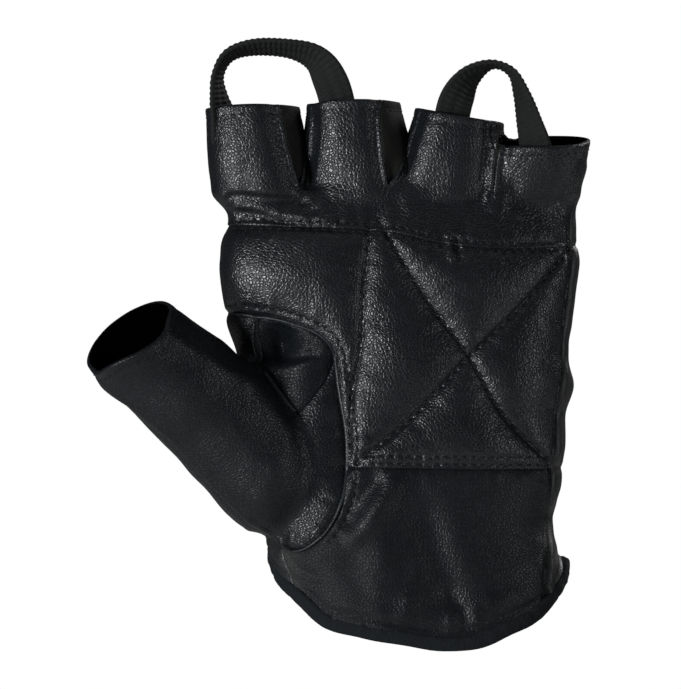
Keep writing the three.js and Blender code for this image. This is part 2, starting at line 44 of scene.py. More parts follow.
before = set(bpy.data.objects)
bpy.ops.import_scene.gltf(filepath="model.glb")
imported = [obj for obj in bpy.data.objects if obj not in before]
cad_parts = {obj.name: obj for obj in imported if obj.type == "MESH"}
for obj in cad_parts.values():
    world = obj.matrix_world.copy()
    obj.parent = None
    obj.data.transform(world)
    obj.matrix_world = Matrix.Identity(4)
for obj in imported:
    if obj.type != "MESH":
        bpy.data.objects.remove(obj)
CAD_BOX = [list(corner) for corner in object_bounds()]
MM = 0.001

# Driving dimensions: those of the part, some of them fitted closer to the photo
STEP = 0.9  # size of the surface's faces
LEATHER = 1.8  # thickness of a panel
DIVIDER_Y = 6.0  # depth at which the palm leather meets the back leather
SIDE_X = 30.0  # right of here the back leather comes round to the side seam
STALL_EDGE_Y = -3.5  # depth of the front leather's edge right of each finger slot
WEB_Z = 103.0  # level of the crotches between the fingers
ROOT_Z = 88.0  # lowest level of a stall's own form
ROOT_REACH = 6.5  # how far below the web a stall narrows
ROOT_SQUEEZE = 0.72  # share of its size that it keeps there
STALL_BELLY = 0.5  # how far a stall bulges half way up
STALL_CAP = 2.0  # how far the field of a stall runs past its rim
FINGER_POWER = 2.5  # squareness of a stall's section
THUMB_POWER = 2.0
HEM_Z = -2.2  # level of the hem at the sides
HEM_TURN_Y = 6.0  # depth at which the hem starts to dip to the front and to the back
HEM_FRONT_DIP = 22.2
HEM_BACK_DIP = 4.0
HEM_SKEW = 0.03
BINDING = 4.2  # height of the binding
STITCH_PITCH = 2.6
CHANNEL_PITCH = 3.0
FAR = 150.0  # past everything
CLEAR = 50.0  # a distance too great to count
EDGE_BULGE = 0.25  # how far a panel's cut edge is rounded out

RIM_STITCH = 2.6  # how far below a rim it is stitched
HEM_ALLOWANCE = 0.8  # how far above the hem's curve the leather ends, inside the binding

# Fillets where the parts of the form meet. The one between the stalls is stalls_low greater from the
# web down.
FILLETS = {"hand_top": 3.0, "stalls": 0.5, "stalls_low": 3.5, "infill": 2.0, "hand": 3.5, "thumb": 3.0}

rng = np.random.default_rng(6145)


def rows(columns, values):
    """A table as one array for each named column."""
    return dict(zip(columns.split(), np.array(values, float).T))


def row(table, i):
    return {name: column[i] for name, column in table.items()}


# The hand tube, a row for each section
HAND = rows("z left right front back power", [
    (-36, -41.0, 41.5, 24.0, 22.0, 2.6),
    (-14, -40.2, 40.6, 24.2, 22.0, 2.6),
    (-3, -41.6, 41.0, 24.2, 21.5, 2.6),
    (4, -43.5, 38.3, 24.0, 20.0, 2.6),
    (11, -45.0, 36.9, 23.7, 19.0, 2.6),
    (20, -46.5, 39.4, 23.5, 18.5, 2.55),
    (32, -48.0, 40.8, 23.0, 18.5, 2.5),
    (41, -49.0, 40.8, 22.0, 18.5, 2.5),
    (49, -50.0, 43.1, 21.5, 18.5, 2.5),
    (58, -52.0, 41.6, 21.0, 18.5, 2.5),
    (68, -54.7, 43.0, 20.0, 18.5, 2.5),
    (84, -56.1, 44.6, 18.5, 18.0, 2.6),
    (91, -55.0, 43.6, 17.0, 17.0, 2.6),
    (95, -52.4, 43.4, 15.0, 15.5, 2.6),
    (98.5, -53.2, 43.7, 13.5, 14.0, 2.6),
    (103, -56.6, 44.3, 11.5, 12.0, 2.6),
    (110, -57.2, 44.8, 11.5, 12.0, 2.6),
])

# The finger stalls from index to little finger: outline and middle at the web and at the rim, level
# of the rim at its left and right, its bow between them, its rise towards the back, half depth and
# turn in degrees
STALLS = rows("webLeft webRight webY rimLeft rimRight rimY left right bow rise half turn", [
    (-58.1, -30.4, 0.5, -59.9, -34.7, 1.5, 126.4, 126.9, 0.8, 0, 12.8, 10),
    (-32.2, -0.5, 0.5, -30.6, -6.5, 1.5, 127.7, 128.2, 0.8, 0, 13.2, 13),
    (-6.9, 21.2, 0.0, -0.8, 23.1, -0.5, 126.4, 122.5, -0.4, 0, 13.0, 12),
    (20.0, 44.7, 0.0, 22.6, 47.5, -4.0, 117.0, 117.4, 0, 0.15, 12.0, 6),
])

# The thumb tube from rim to root: upper and lower ends of the outline, depth of the middle, half
# depth, lean in degrees and how far the back of the section is shifted to the lower side
THUMB = rows("ux uz lx lz y half lean shift", [
    (-69.7, 71.5, -91.3, 53.1, -24.0, 12.9, 31, 2.0),
    (-63.9, 67.5, -84.4, 45.0, -21.0, 13.2, 27, 1.8),
    (-57.5, 62.9, -76.4, 37.2, -18.0, 14.2, 23, 1.2),
    (-51.5, 58.6, -68.8, 29.5, -14.5, 15.4, 18, 0.6),
    (-46.6, 54.6, -61.0, 20.8, -11.5, 16.8, 13, 0),
    (-40.2, 48.2, -53.2, 12.1, -9.0, 17.6, 8, 0),
    (-33.4, 41.6, -45.6, 7.0, -7.0, 18.0, 4, 0),
    (-25.0, 32.0, -33.0, 7.0, -4.0, 14.5, 0, 0),
])

# Seams in the plane of the palm, as points (x, z)
BAND_SEAM = [
    (-66, 93.8), (-50, 94.0), (-38, 93.7), (-28, 93.4), (-19.5, 93.0), (-10, 92.3), (6, 88.8), (20, 87.4),
    (50, 88.4),
]
THUMB_ARC = [
    (-56.5, 69.2), (-50, 68.5), (-36, 66.2), (-25.6, 60.6), (-22.6, 48.2), (-20.4, 31), (-22.2, 16.5),
    (-29, 5.6), (-35.6, 2.6), (-41.5, 5.2), (-50, 6.2),
]
THUMB_BACK_ARC = [
    (-56.5, 69.2), (-50, 66), (-42, 54), (-35, 38), (-32, 22), (-36.5, 9), (-42, 6.2), (-50, 6.2),
]
GUSSET_LEFT = [(-46.2, 67.2), (-46.9, 61.2), (-45.7, 56), (-43.6, 52.6), (-39.8, 47.2), (-34.2, 40.9)]
GUSSET_RIGHT = [(-34.2, 40.9), (-29.6, 46.2), (-26.4, 51), (-23.9, 57)]
PAD_BOTTOM = [(-24, 26.4), (0, 26.0), (48, 25.6)]
THUMB_SEAM = [
    (-92, 51.0), (-77.6, 40.0), (-70.3, 34.0), (-62, 25.2), (-54.6, 16.9), (-47.6, 10.2), (-40, 4.6),
]
UPRIGHT = [(-13.6, 96), (-16.2, 72.5), (-16.6, 62), (-19.6, 44), (-19.8, 24)]
DIAGONAL_DOWN = [(-12, 96), (1.7, 73.1), (13.7, 57.1), (23, 41.2), (38, 26)]
DIAGONAL_UP = [(43, 88), (28, 70.6), (13.7, 57.1), (-2, 40.4), (-21, 25)]
HEEL_SIDE = [(-39, 3.4), (-35, -8), (-33, -40)]

# The side walls between the fingers: front edge on the near finger, and middle of the slot
SLOTS = {
    "fourchette_index_middle": rows("z edge slot", [
        (104.6, -33.4, -33.4), (106.4, -34.5, -33.1), (109.7, -35.5, -32.4), (113.9, -36.4, -31.7),
        (118.5, -37.6, -31.3), (123.2, -38.3, -31.3), (128, -39.4, -31.4),
    ]),
    "fourchette_middle_ring": rows("z edge slot", [
        (104.6, -9.0, -9.0), (106.9, -9.5, -7.2), (111.5, -10.2, -5.1), (118.1, -10.7, -3.3),
        (124.1, -11.2, -1.3), (128.1, -10.7, -0.2),
    ]),
    "fourchette_ring_little": rows("z edge slot", [
        (102.2, 20.2, 20.6), (109.2, 20.6, 21.2), (116.5, 21.3, 22.4), (123, 21.4, 23.6),
    ]),
}

# Leather that fills the fold between the ring and the little finger
INFILL = {"x": 20.6, "lean": 0.135, "y": -1.5, "half": 5.5, "depth": 10.6, "power": 2.2, "below_rim": 0.6}

# How far the front of the thumb's rim stands past its plane, across the thumb from the lower side
THUMB_RIM = rows("u rise", [(-15, 0.3), (-9.2, 2.6), (0, 1.7), (5, 0.6), (9, 0.4), (12.5, 0.9), (15, 0.3)])

# Folds and creases pressed in (depth above 0) or raised (below 0), from (x0, z0) to (x1, z1)
FOLDS = rows("x0 z0 x1 z1 width depth", [
    (-18.5, 6.5, -7.5, 20.5, 3.2, -1.4),
    (-20, 12, -13.5, 22.5, 3.0, 1.5),
    (-12, 14, -12, -14, 5.5, -1.0),
    (1.5, 12, 8, -9, 5.0, 1.4),
    (8, -9, 12, -16, 2.4, 0.6),
    (8.4, -18, 8.9, -15, 2.2, -0.7),
    (15.6, -17, 15.0, -14, 2.2, -0.6),
    (20, -11.6, 32, -8.6, 2.6, -0.8),
    (-4.6, -15, -3.2, -11, 3.0, -0.7),
    (28, 23.4, 36, 20.8, 1.4, -0.5),
    (-27, 2, -20, -13, 5.0, -1.0),
    (-53, 101.6, -33, 100.4, 1.4, 1.1),
    (-8.9, 104, -5, 96, 2.0, 0.5),
    (-33.2, 104, -31, 98, 2.0, 0.45),
    (18.2, 122, 17.0, 100, 0.9, 0.2),
    (19.7, 122, 18.6, 101, 0.75, -0.25),
    (20.9, 116, 19.7, 100, 0.7, 0.3),
    (22.6, 113, 21.2, 99, 1.0, 0.25),
    (26.0, 113, 21.9, 98.5, 2.0, -0.5),
    (44.8, 112, 38.8, 100.5, 1.4, 0.8),
    (46.8, 110, 41.2, 98, 1.4, -0.4),
    (5.5, 121, -4.5, 100.5, 4.5, -0.7),
    (-46, 123, -43, 103, 4.5, -0.4),
    (-24, 123, -17, 103, 6.0, -0.4),
    (-69.5, 61.5, -47.6, 49.5, 2.6, -0.7),
    (-47.6, 49.5, -38, 38, 3.2, -0.6),
    (-75, 52, -52, 30, 6.0, 0.4),
    (8, 90.4, 8.8, 84, 0.9, -0.7),
    (9.9, 90.4, 11.2, 84, 0.9, 0.6),
])

# Folds that stand over, as lines with their height and width: the leather to the left of each line
# is raised, and to its right pressed in. They are the waist below the index stall, the fold in the
# gusset, two at the heel's corner and the seam of the thumb.
OVERHANGS = [
    ([(-50.5, 98.2), (-46, 97.8), (-41, 96.2), (-35, 95.0), (-26, 94.0)], 0.6, 1.5),
    ([(-31, 56.4), (-38, 55.0), (-46.4, 55.8)], 0.9, 1.5),
    ([(-30, -4.6), (-34, -3.2), (-37.4, 0.4), (-38.6, 4)], 0.45, 0.9),
    ([(-28, -7.4), (-33, -6.2), (-37.2, -3), (-39, 1)], 0.35, 0.9),
    (THUMB_SEAM, 0.6, 0.9),
]


def between(keys, values, at):
    """Values at places among the keys, on a smooth line through them."""
    keys, values = np.asarray(keys, float), np.asarray(values, float)
    slopes = np.gradient(values, keys)
    i = np.clip(np.searchsorted(keys, at) - 1, 0, len(keys) - 2)
    h = keys[i + 1] - keys[i]
    t = np.clip((at - keys[i]) / h, 0, 1)
    return (
        (1 + 2 * t) * (1 - t) ** 2 * values[i]
        + t * (1 - t) ** 2 * h * slopes[i]
        + t * t * (3 - 2 * t) * values[i + 1]
        - t * t * (1 - t) * h * slopes[i + 1]
    )


def ease(value, low, high):
    """A smooth step from 0 at low to 1 at high."""
    t = np.clip((value - low) / (high - low), 0, 1)
    return t * t * (3 - 2 * t)


def section_distance(u, v, a, b, power):
    """Signed distance, close to the outline, from a squarish section of half width a and half depth b."""
    u, v = np.abs(u) + 1e-6, np.abs(v) + 1e-6
    pu, pv = (u / a) ** power, (v / b) ** power
    total = pu + pv
    r = total ** (1 / power)
    slope = r / total * np.hypot(pu / u, pv / v)
    return (r - 1) / np.maximum(slope, 0.5 / (a + b))


def joined(a, b, radius):
    """The union of two fields with a fillet."""
    h = np.maximum(radius - np.abs(a - b), 0) / radius
    return np.minimum(a, b) - h * h * radius / 4


def hand_section(z):
    """The hand's left, right, front, back and squareness at a level."""
    return [between(HAND["z"], HAND[column], z) for column in ("left", "right", "front", "back", "power")]


def hand_field(x, y, z):
    left, right, front, back, power = hand_section(z)
    deep = np.where(y < 0, front, back)
    side = section_distance(x - (left + right) / 2, y, (right - left) / 2, deep, power)
    return -joined(-side, WEB_Z - z, FILLETS["hand_top"])


def stall_place(i, x, y, z):
    """Where a point is in a finger stall: its offset from the middle, and how far it is above the rim."""
    s = row(STALLS, i)
    share = (z - WEB_Z) / ((s["left"] + s["right"]) / 2 - WEB_Z)
    left = s["webLeft"] + (s["rimLeft"] - s["webLeft"]) * share
    right = s["webRight"] + (s["rimRight"] - s["webRight"]) * share
    dx = x - (left + right) / 2
    dy = y - s["webY"] - (s["rimY"] - s["webY"]) * share
    half = (right - left) / 2
    slope = (s["right"] - s["left"]) / (s["rimRight"] - s["rimLeft"])
    bow = s["bow"] * (1 - np.clip(dx / half, -1, 1) ** 2)
    above = z - (s["left"] + s["right"]) / 2 - slope * dx - s["rise"] * dy - bow
    return dx, dy, half, share, above


def stall_wall(i, dx, dy, half, share, z):
    """Distance to a stall's wall."""
    turn = math.radians(STALLS["turn"][i])
    squeeze = 1 - (1 - ROOT_SQUEEZE) * ease(WEB_Z - z, 0, ROOT_REACH)
    belly = STALL_BELLY * np.sin(math.pi * np.clip(share, 0, 1))
    u = dx * math.cos(turn) - dy * math.sin(turn)
    v = dx * math.sin(turn) + dy * math.cos(turn)
    deep = STALLS["half"][i] * squeeze + belly
    return section_distance(u, v, half * squeeze + belly, deep, FINGER_POWER)


def stall_field(i, x, y, z):
    dx, dy, half, share, above = stall_place(i, x, y, z)
    side = stall_wall(i, dx, dy, half, share, z)
    return np.maximum(np.maximum(side, ROOT_Z - z), above - STALL_CAP)


def infill_field(x, y, z):
    f = INFILL
    dx = x - f["x"] - f["lean"] * (z - WEB_Z)
    side = section_distance(dx, y - f["y"], f["half"], f["depth"], f["power"])
    above_little = stall_place(3, x, y, z)[-1]
    return np.maximum(np.maximum(side, ROOT_Z - z), above_little + f["below_rim"])


def thumb_frames():
    """Middle, across, back and outward directions and half width of each row of the thumb's table."""
    upper = np.stack([THUMB["ux"], THUMB["y"], THUMB["uz"]], 1)
    lower = np.stack([THUMB["lx"], THUMB["y"], THUMB["lz"]], 1)
    width = np.linalg.norm(upper - lower, axis=1)
    across = (upper - lower) / width[:, None]
    lean = np.radians(THUMB["lean"])[:, None]
    back = np.array([0, 1.0, 0]) * np.cos(lean) + np.cross(across, [0, 1.0, 0]) * np.sin(lean)
    return (upper + lower) / 2, across, back, np.cross(across, back), width / 2


THUMB_MIDDLE, THUMB_ACROSS, THUMB_BACK, THUMB_AXIS, THUMB_HALF = thumb_frames()


def thumb_field(p):
    ahead = np.stack([(p - m) @ a for m, a in zip(THUMB_MIDDLE, THUMB_AXIS)])
    place = np.where(ahead[-1] <= 0, float(len(ahead) - 1), 0.0)
    for i in range(len(ahead) - 1):
        here = (ahead[i] <= 0) & (ahead[i + 1] > 0)
        place = np.where(here, i + ahead[i] / np.minimum(ahead[i] - ahead[i + 1], -1e-6), place)
    keys = np.arange(len(ahead))
    at = lambda table: np.stack([between(keys, table[:, k], place) for k in range(3)], -1)
    offset = p - at(THUMB_MIDDLE)
    u = (offset * at(THUMB_ACROSS)).sum(-1)
    v = (offset * at(THUMB_BACK)).sum(-1)
    half, depth = between(keys, THUMB_HALF, place), between(keys, THUMB["half"], place)
    u = u + between(keys, THUMB["shift"], place) * np.clip(v / depth, 0, 1)
    return np.maximum(section_distance(u, v, half, depth, THUMB_POWER), -ahead[-1])


# The form of the glove as a field on a grid
margin = 7.0
low = np.array(CAD_BOX[0]) / MM - [margin, 4.0, margin]
high = np.array(CAD_BOX[1]) / MM + [margin, 4.0, 0.0]
high[2] = STALLS["right"].max() + margin
counts = np.ceil((high - low) / STEP).astype(int) + 1
axes = [low[k] + STEP * np.arange(counts[k]) for k in range(3)]


def block(x0, x1, z0, z1):
    """The part of the grid in a range of x and z, as slices and its coordinates."""
    i = slice(*np.searchsorted(axes[0], [x0, x1]))
    k = slice(*np.searchsorted(axes[2], [z0, z1]))
    x, y, z = np.meshgrid(axes[0][i], axes[1], axes[2][k], indexing="ij", sparse=True)
    return (i, slice(None), k), x, y, z


def glove_field():
    _, x, y, z = block(-FAR, FAR, -FAR, FAR)
    hand = hand_field(x, y, z)
    field = hand.copy()
    stalls = np.full(field.shape, FAR)
    for i in range(4):
        left, right = STALLS["webLeft"][i], STALLS["rimRight"][i]
        where, x, y, z = block(left - 12, right + 12, ROOT_Z - 2, FAR)
        filled = FILLETS["stalls"] + FILLETS["stalls_low"] * ease(110 - z, 0, 8)
        stalls[where] = joined(stalls[where], stall_field(i, x, y, z), filled)
    where, x, y, z = block(10, 35, ROOT_Z - 2, FAR)
    stalls[where] = joined(stalls[where], infill_field(x, y, z), FILLETS["infill"])
    where, x, y, z = block(-FAR, FAR, ROOT_Z - 2, FAR)
    field[where] = joined(hand[where], stalls[where], FILLETS["hand"])
    where, x, y, z = block(-FAR, 0, -8, 84)
    x, y, z = np.broadcast_arrays(x, y, z)
    thumb = thumb_field(np.stack([x, y, z], -1))
    field[where] = joined(field[where], thumb, FILLETS["thumb"])
    return field


CORNERS = list(np.ndindex(2, 2, 2))


def sample(grid, p):
    """Values of a grid at points, straight between its nodes."""
    q = np.clip((p - low) / STEP, 0, np.array(grid.shape[:3]) - 1.001)
    i = q.astype(int)
    f = q - i
    total = 0
    for corner in CORNERS:
        weight = np.prod(np.where(corner, f, 1 - f), axis=1)
        value = grid[i[:, 0] + corner[0], i[:, 1] + corner[1], i[:, 2] + corner[2]]
        total = total + (weight if value.ndim == 1 else weight[:, None]) * value
    return total


def cell_points(field, cells):
    """The middle of the places where the field changes sign on the edges of each cell."""
    values = {c: field[tuple((cells + c).T)] for c in CORNERS}
    total, hits = np.zeros((len(cells), 3)), np.zeros(len(cells))
    for a in CORNERS:
        for k in range(3):
            if a[k]:
                continue
            b = tuple(1 if j == k else a[j] for j in range(3))
            va, vb = values[a], values[b]
            crossing = (va < 0) != (vb < 0)
            t = np.where(crossing, va / np.where(crossing, va - vb, 1), 0)
            point = np.array(a, float) + t[:, None] * (np.array(b) - np.array(a))
            total += point * crossing[:, None]
            hits += crossing
    return low + STEP * (cells + total / hits[:, None])


def net_quads(solid, number):
    """Four cells round each edge of the grid that leads out of the solid, turned outward."""
    n = number.shape
    quads = []
    for k in range(3):
        j, m = (k + 1) % 3, (k + 2) % 3
        ahead = np.take(solid, range(1, solid.shape[k]), k)
        behind = np.take(solid, range(solid.shape[k] - 1), k)
        edge = np.argwhere(ahead != behind)
        edge = edge[(edge[:, j] > 0) & (edge[:, m] > 0) & (edge[:, j] < n[j]) & (edge[:, m] < n[m])]
        outward = behind[tuple(edge.T)]
        around = []
        for dj, dm in ((-1, -1), (0, -1), (0, 0), (-1, 0)):
            c = edge.copy()
            c[:, j] += dj
            c[:, m] += dm
            around.append(number[tuple(c.T)])
        quad = np.stack(around, 1)
        quad[~outward] = quad[~outward][:, ::-1]
        quads.append(quad)
    return np.concatenate(quads)


def surface_net(field):
    """A triangle mesh over the zero level of the field."""
    solid = field < 0
    n = np.array(field.shape) - 1
    count = np.zeros(n, np.int8)
    for i, j, k in CORNERS:
        count += solid[i:n[0] + i, j:n[1] + j, k:n[2] + k]
    cells = np.argwhere((count > 0) & (count < 8))
    points = cell_points(field, cells)
    number = np.full(n, -1)
    number[tuple(cells.T)] = np.arange(len(cells))
    quads = net_quads(solid, number)
    d0 = np.linalg.norm(points[quads[:, 0]] - points[quads[:, 2]], axis=1)
    d1 = np.linalg.norm(points[quads[:, 1]] - points[quads[:, 3]], axis=1)
    turned = np.where((d0 <= d1)[:, None], quads, np.roll(quads, -1, 1))
    used, turned = np.unique(turned, return_inverse=True)
    turned = turned.reshape(-1, 4)
    return points[used], np.concatenate([turned[:, [0, 1, 2]], turned[:, [0, 2, 3]]])


def sides_of(triangles):
    """The sides 01, 12 and 20 of all the triangles, one kind after the other."""
    return np.concatenate([triangles[:, [0, 1]], triangles[:, [1, 2]], triangles[:, [2, 0]]])


def edges_of(triangles):
    """The edges, and for each triangle the numbers of its edges 01, 12 and 20."""
    edges, number = np.unique(np.sort(sides_of(triangles), axis=1), axis=0, return_inverse=True)
    return edges, number.reshape(3, -1).T


def relaxed(points, triangles, field, gradient, rounds=4):
    """The surface with its points spread evenly and set exactly on the field's zero level."""
    edges, _ = edges_of(triangles)
    degree = np.bincount(edges.ravel(), minlength=len(points))[:, None]
    for _ in range(rounds):
        total = np.zeros_like(points)
        for a, b in ((0, 1), (1, 0)):
            for k in range(3):
                total[:, k] += np.bincount(edges[:, a], points[edges[:, b], k], minlength=len(points))
        normal = unit(sample(gradient, points))
        move = total / degree - points
        move -= (move * normal).sum(1)[:, None] * normal
        points = points + 0.5 * move
        slope = sample(gradient, points)
        level = sample(field, points)[:, None]
        points = points - np.clip(level, -0.5, 0.5) * slope / np.maximum((slope ** 2).sum(1)[:, None], 0.2)
    return points


def unit(v):
    return v / np.maximum(np.linalg.norm(v, axis=-1), 1e-9)[..., None]


def split_edges(points, triangles, chosen, places):
    """Splits the chosen edges at their places, and the triangles on them."""
    edges, of_triangle = edges_of(triangles)
    new = np.full(len(edges), -1)
    new[chosen] = len(points) + np.arange(chosen.sum())
    ends = points[edges[chosen]]
    added = ends[:, 0] + (ends[:, 1] - ends[:, 0]) * places[chosen][:, None]
    cut = new[of_triangle]
    made = [triangles[(cut < 0).all(1)]]
    for turn in range(3):
        order = np.roll([0, 1, 2], -turn)
        a, b, c = (triangles[:, k] for k in order)
        ab, bc, ca = (cut[:, k] for k in order)
        one = (ab >= 0) & (bc < 0) & (ca < 0)
        made += [np.stack([a, ab, c], 1)[one], np.stack([ab, b, c], 1)[one]]
        two = (ab >= 0) & (ca >= 0) & (bc < 0)
        made += [np.stack(t, 1)[two] for t in ((a, ab, ca), (ab, b, c), (ab, c, ca))]
    every = (cut >= 0).all(1)
    a, b, c = triangles[every].T
    ab, bc, ca = cut[every].T
    made += [np.stack(t, 1) for t in ((a, ab, ca), (ab, b, bc), (ca, bc, c), (ab, bc, ca))]
    return np.concatenate([points, added]), np.concatenate(made)


def cut_along(points, triangles, locked, value):
    """Runs edges of the mesh along the zero line of a function: near points move on to it, and the
    edges that still cross it are split there. Locked points lie on an earlier line."""
    f = value(points)
    probe = 0.05
    slope = np.stack([(value(points + probe * ahead) - f) / probe for ahead in np.eye(3)], 1)
    normal = unit(sample(gradient, points))
    slope -= (slope * normal).sum(1)[:, None] * normal
    steep = (slope ** 2).sum(1)
    move = -f / np.maximum(steep, 1e-6)
    near = (np.abs(move) * np.sqrt(steep) < 0.3 * STEP) & (steep > 0.15) & ~locked
    points = points.copy()
    points[near] += slope[near] * move[near][:, None]
    f = value(points)
    f[near | (np.abs(f) < 1e-4)] = 0
    edges, _ = edges_of(triangles)
    a, b = f[edges[:, 0]], f[edges[:, 1]]
    chosen = (a * b < 0) & (np.abs(a) + np.abs(b) < 4 * STEP)
    places = np.abs(a) / np.maximum(np.abs(a) + np.abs(b), 1e-9)
    points, triangles = split_edges(points, triangles, chosen, places)
    locked = np.concatenate([locked | (f == 0), np.ones(chosen.sum(), bool)])
    return points, triangles, locked


def lengths_along(line):
    """The length along a line up to each of its points."""
    return np.concatenate([[0], np.cumsum(np.linalg.norm(np.diff(line, axis=0), axis=1))])


def read_at(values, length, at):
    """Rows of values known at lengths along a line, read at other lengths."""
    return np.stack([np.interp(at, length, column) for column in values.T], 1)


def smooth_line(points, spacing=1.0):
    """Points evenly spaced along a smooth line through the given ones."""
    p = np.array(points, float)
    key = lengths_along(p)
    fine = np.linspace(0, key[-1], 40 * len(p))
    line = np.stack([between(key, column, fine) for column in p.T], 1)
    length = lengths_along(line)
    return read_at(line, length, np.linspace(0, length[-1], max(2, round(length[-1] / spacing)) + 1))


def shifted(line, offset):
    """A line in the palm's plane moved to its left by an offset."""
    along = unit(np.gradient(line, axis=0))
    return line + offset * np.stack([-along[:, 1], along[:, 0]], 1)


def clipped(line, x0=-FAR, x1=FAR, z0=-FAR, z1=FAR):
    """The points of a line that lie in a rectangle of the palm's plane."""
    keep = (line[:, 0] > x0) & (line[:, 0] < x1) & (line[:, 1] > z0) & (line[:, 1] < z1)
    return line[keep]


def to_line(line, x, z):
    """Distance from points to a line in the palm's plane, the place along it, and 1 on its left side
    or -1 on its right."""
    best, place, side = np.full(np.shape(x), np.inf), np.zeros(np.shape(x)), np.ones(np.shape(x))
    start = 0
    for (ax, az), (bx, bz) in zip(line[:-1], line[1:]):
        dx, dz = bx - ax, bz - az
        length = math.hypot(dx, dz)
        t = np.clip(((x - ax) * dx + (z - az) * dz) / length ** 2, 0, 1)
        d = np.hypot(x - ax - t * dx, z - az - t * dz)
        nearer = d < best
        best, place = np.where(nearer, d, best), np.where(nearer, start + t * length, place)
        side = np.where(nearer, np.where(dx * (z - az) - dz * (x - ax) > 0, 1, -1), side)
        start += length
    return best, place, side


def away_from(line, x, z):
    """Distance from points to a line in the palm's plane."""
    return to_line(line, x, z)[0]


def inside(outline, x, z):
    """Whether points of the palm's plane lie in a closed outline."""
    odd = np.zeros(np.shape(x), bool)
    for (ax, az), (bx, bz) in zip(outline, np.roll(outline, -1, axis=0)):
        crossing = (az > z) != (bz > z)
        odd ^= crossing & (x < ax + (z - az) * (bx - ax) / (bz - az if bz != az else 1))
    return odd


# Seam lines, drawn smooth
band_seam = smooth_line(BAND_SEAM)
thumb_arc = smooth_line(THUMB_ARC)
thumb_back_arc = smooth_line(THUMB_BACK_ARC, 2)
gusset_left = smooth_line(GUSSET_LEFT)
gusset_right = smooth_line(GUSSET_RIGHT)
pad_bottom = smooth_line(PAD_BOTTOM, 3)
channels = [smooth_line(points, 1.5) for points in (UPRIGHT, DIAGONAL_DOWN, DIAGONAL_UP)]
thumb_side = [(-60, 6.2), (-FAR, 6.2), (-FAR, FAR), (-64, FAR), (-62, 69.6)]
thumb_front_outline = np.array([*thumb_arc, *thumb_side])
thumb_back_outline = np.array([*thumb_back_arc, *thumb_side])
gusset_outline = np.array([*gusset_left, *gusset_right[1:], (-18, 75), (-46, 75)])
low_side = np.array([(-FAR, 6.2), (-42, 5.3), *HEEL_SIDE, (-33, -FAR)])
palm_outline = np.array([*low_side, (FAR, -FAR), (FAR, FAR), (-FAR, FAR)])

SIDE_SEAM = rows("z x", [
    (-40, 34.6), (-11, 35.4), (8, 35.9), (25, 37.4), (39, 38.4), (50, 40.0), (62, 40.2), (73, 41.6),
    (87, 42.8), (94, 42.2), (99, 43.0), (106, 44.8), (117, 46.8), (130, 48.6),
])


def side_seam_x(z):
    return between(SIDE_SEAM["z"], SIDE_SEAM["x"], z)


def signed(line, outline):
    """Distance to a line in the palm's plane, negative inside the outline."""

    def value(p):
        x, _, z = p.T
        return away_from(line, x, z) * np.where(inside(outline, x, z), -1, 1)

    return value


def above_web(value):
    """A function that only counts above the bottoms of the finger slots."""
    return lambda p: np.where(p[:, 2] > WEB_Z - 1, value(p), CLEAR)


WALL_REACH = 13.0  # how far right of its slot a side wall reaches
WALL_FOLD = (1.0, 1.0, 0.15)  # share of the full folds that each side wall has


def slot_x(table, column, z):
    return np.interp(z, table["z"], table[column])


def wall_front(table, z):
    """Depth of a side wall's front edge on the finger right of its slot."""
    at_web = 1 - ease(z, table["z"][0] + 1, table["z"][0] + 8)
    return STALL_EDGE_Y + (DIVIDER_Y - STALL_EDGE_Y) * at_web


def side_wall_cut(table):
    """How far a point is behind a side wall's front edge, near the slot."""

    def value(p):
        x, y, z = p.T
        near = np.abs(x - slot_x(table, "slot", z) - WALL_REACH / 2) < WALL_REACH / 2
        return np.where(near, y - wall_front(table, z), CLEAR)

    return value


# How much higher the hem's front runs than its plain curve, from the thumb side to the other side
HEM_LIFT = rows("x lift", [
    (-43, 2.9), (-39.5, 3.4), (-36, 4.0), (-32, 3.3), (-27, 1.4), (-16, 1.7), (-4, 0.5), (5.6, -0.6),
    (14.8, -0.4), (24, 1.5), (30.5, 2.0), (36.7, 3.6), (41, 4.4), (44, 4.6),
])


def hem_level(p):
    """Height of the wrist hem at a point's depth and side."""
    x, y = p[:, 0], p[:, 1]
    front = np.maximum(0, (HEM_TURN_Y - y) / (HEM_TURN_Y + HAND["front"][1]))
    back = np.maximum(0, (y - HEM_TURN_Y) / (HAND["back"][1] - HEM_TURN_Y))
    lift = between(HEM_LIFT["x"], HEM_LIFT["lift"], x) * ease(-y, -6, 6)
    return HEM_Z - HEM_FRONT_DIP * front ** 1.35 - HEM_BACK_DIP * back ** 1.5 - HEM_SKEW * x + lift


def thumb_rise(across, forward):
    """How far the thumb's rim stands past its plane."""
    return ease(forward, 0.1, 0.6) * between(THUMB_RIM["u"], THUMB_RIM["rise"], across)


HEM_END_Z = 40.0  # below here the open end is the hem
THUMB_END_X, THUMB_END_Z = -58.0, 96.0  # left of here and below it is the thumb's rim


def past_rims(p):
    """How far a point is past the open ends of the stalls and the thumb and below the hem."""
    x, y, z = p.T
    past = np.where(z < HEM_END_Z, hem_level(p) + HEM_ALLOWANCE - z, -CLEAR)
    nearest = np.full(len(p), FAR)
    for i in range(4):
        dx, dy, half, share, above = stall_place(i, x, y, z)
        wall = stall_wall(i, dx, dy, half, share, z)
        own_top = (wall < 0.3) & (above > 0) & (above < STALL_CAP + 0.1)
        past = np.where((z > WEB_Z) & ((np.abs(wall) < nearest) | own_top), above, past)
        nearest = np.where(own_top, 0, np.minimum(nearest, np.abs(wall)))
    offset = p - THUMB_MIDDLE[0]
    rise = thumb_rise(offset @ THUMB_ACROSS[0], -(offset @ THUMB_BACK[0]) / THUMB["half"][0])
    return np.where((x < THUMB_END_X) & (z < THUMB_END_Z), offset @ THUMB_AXIS[0] - rise, past)


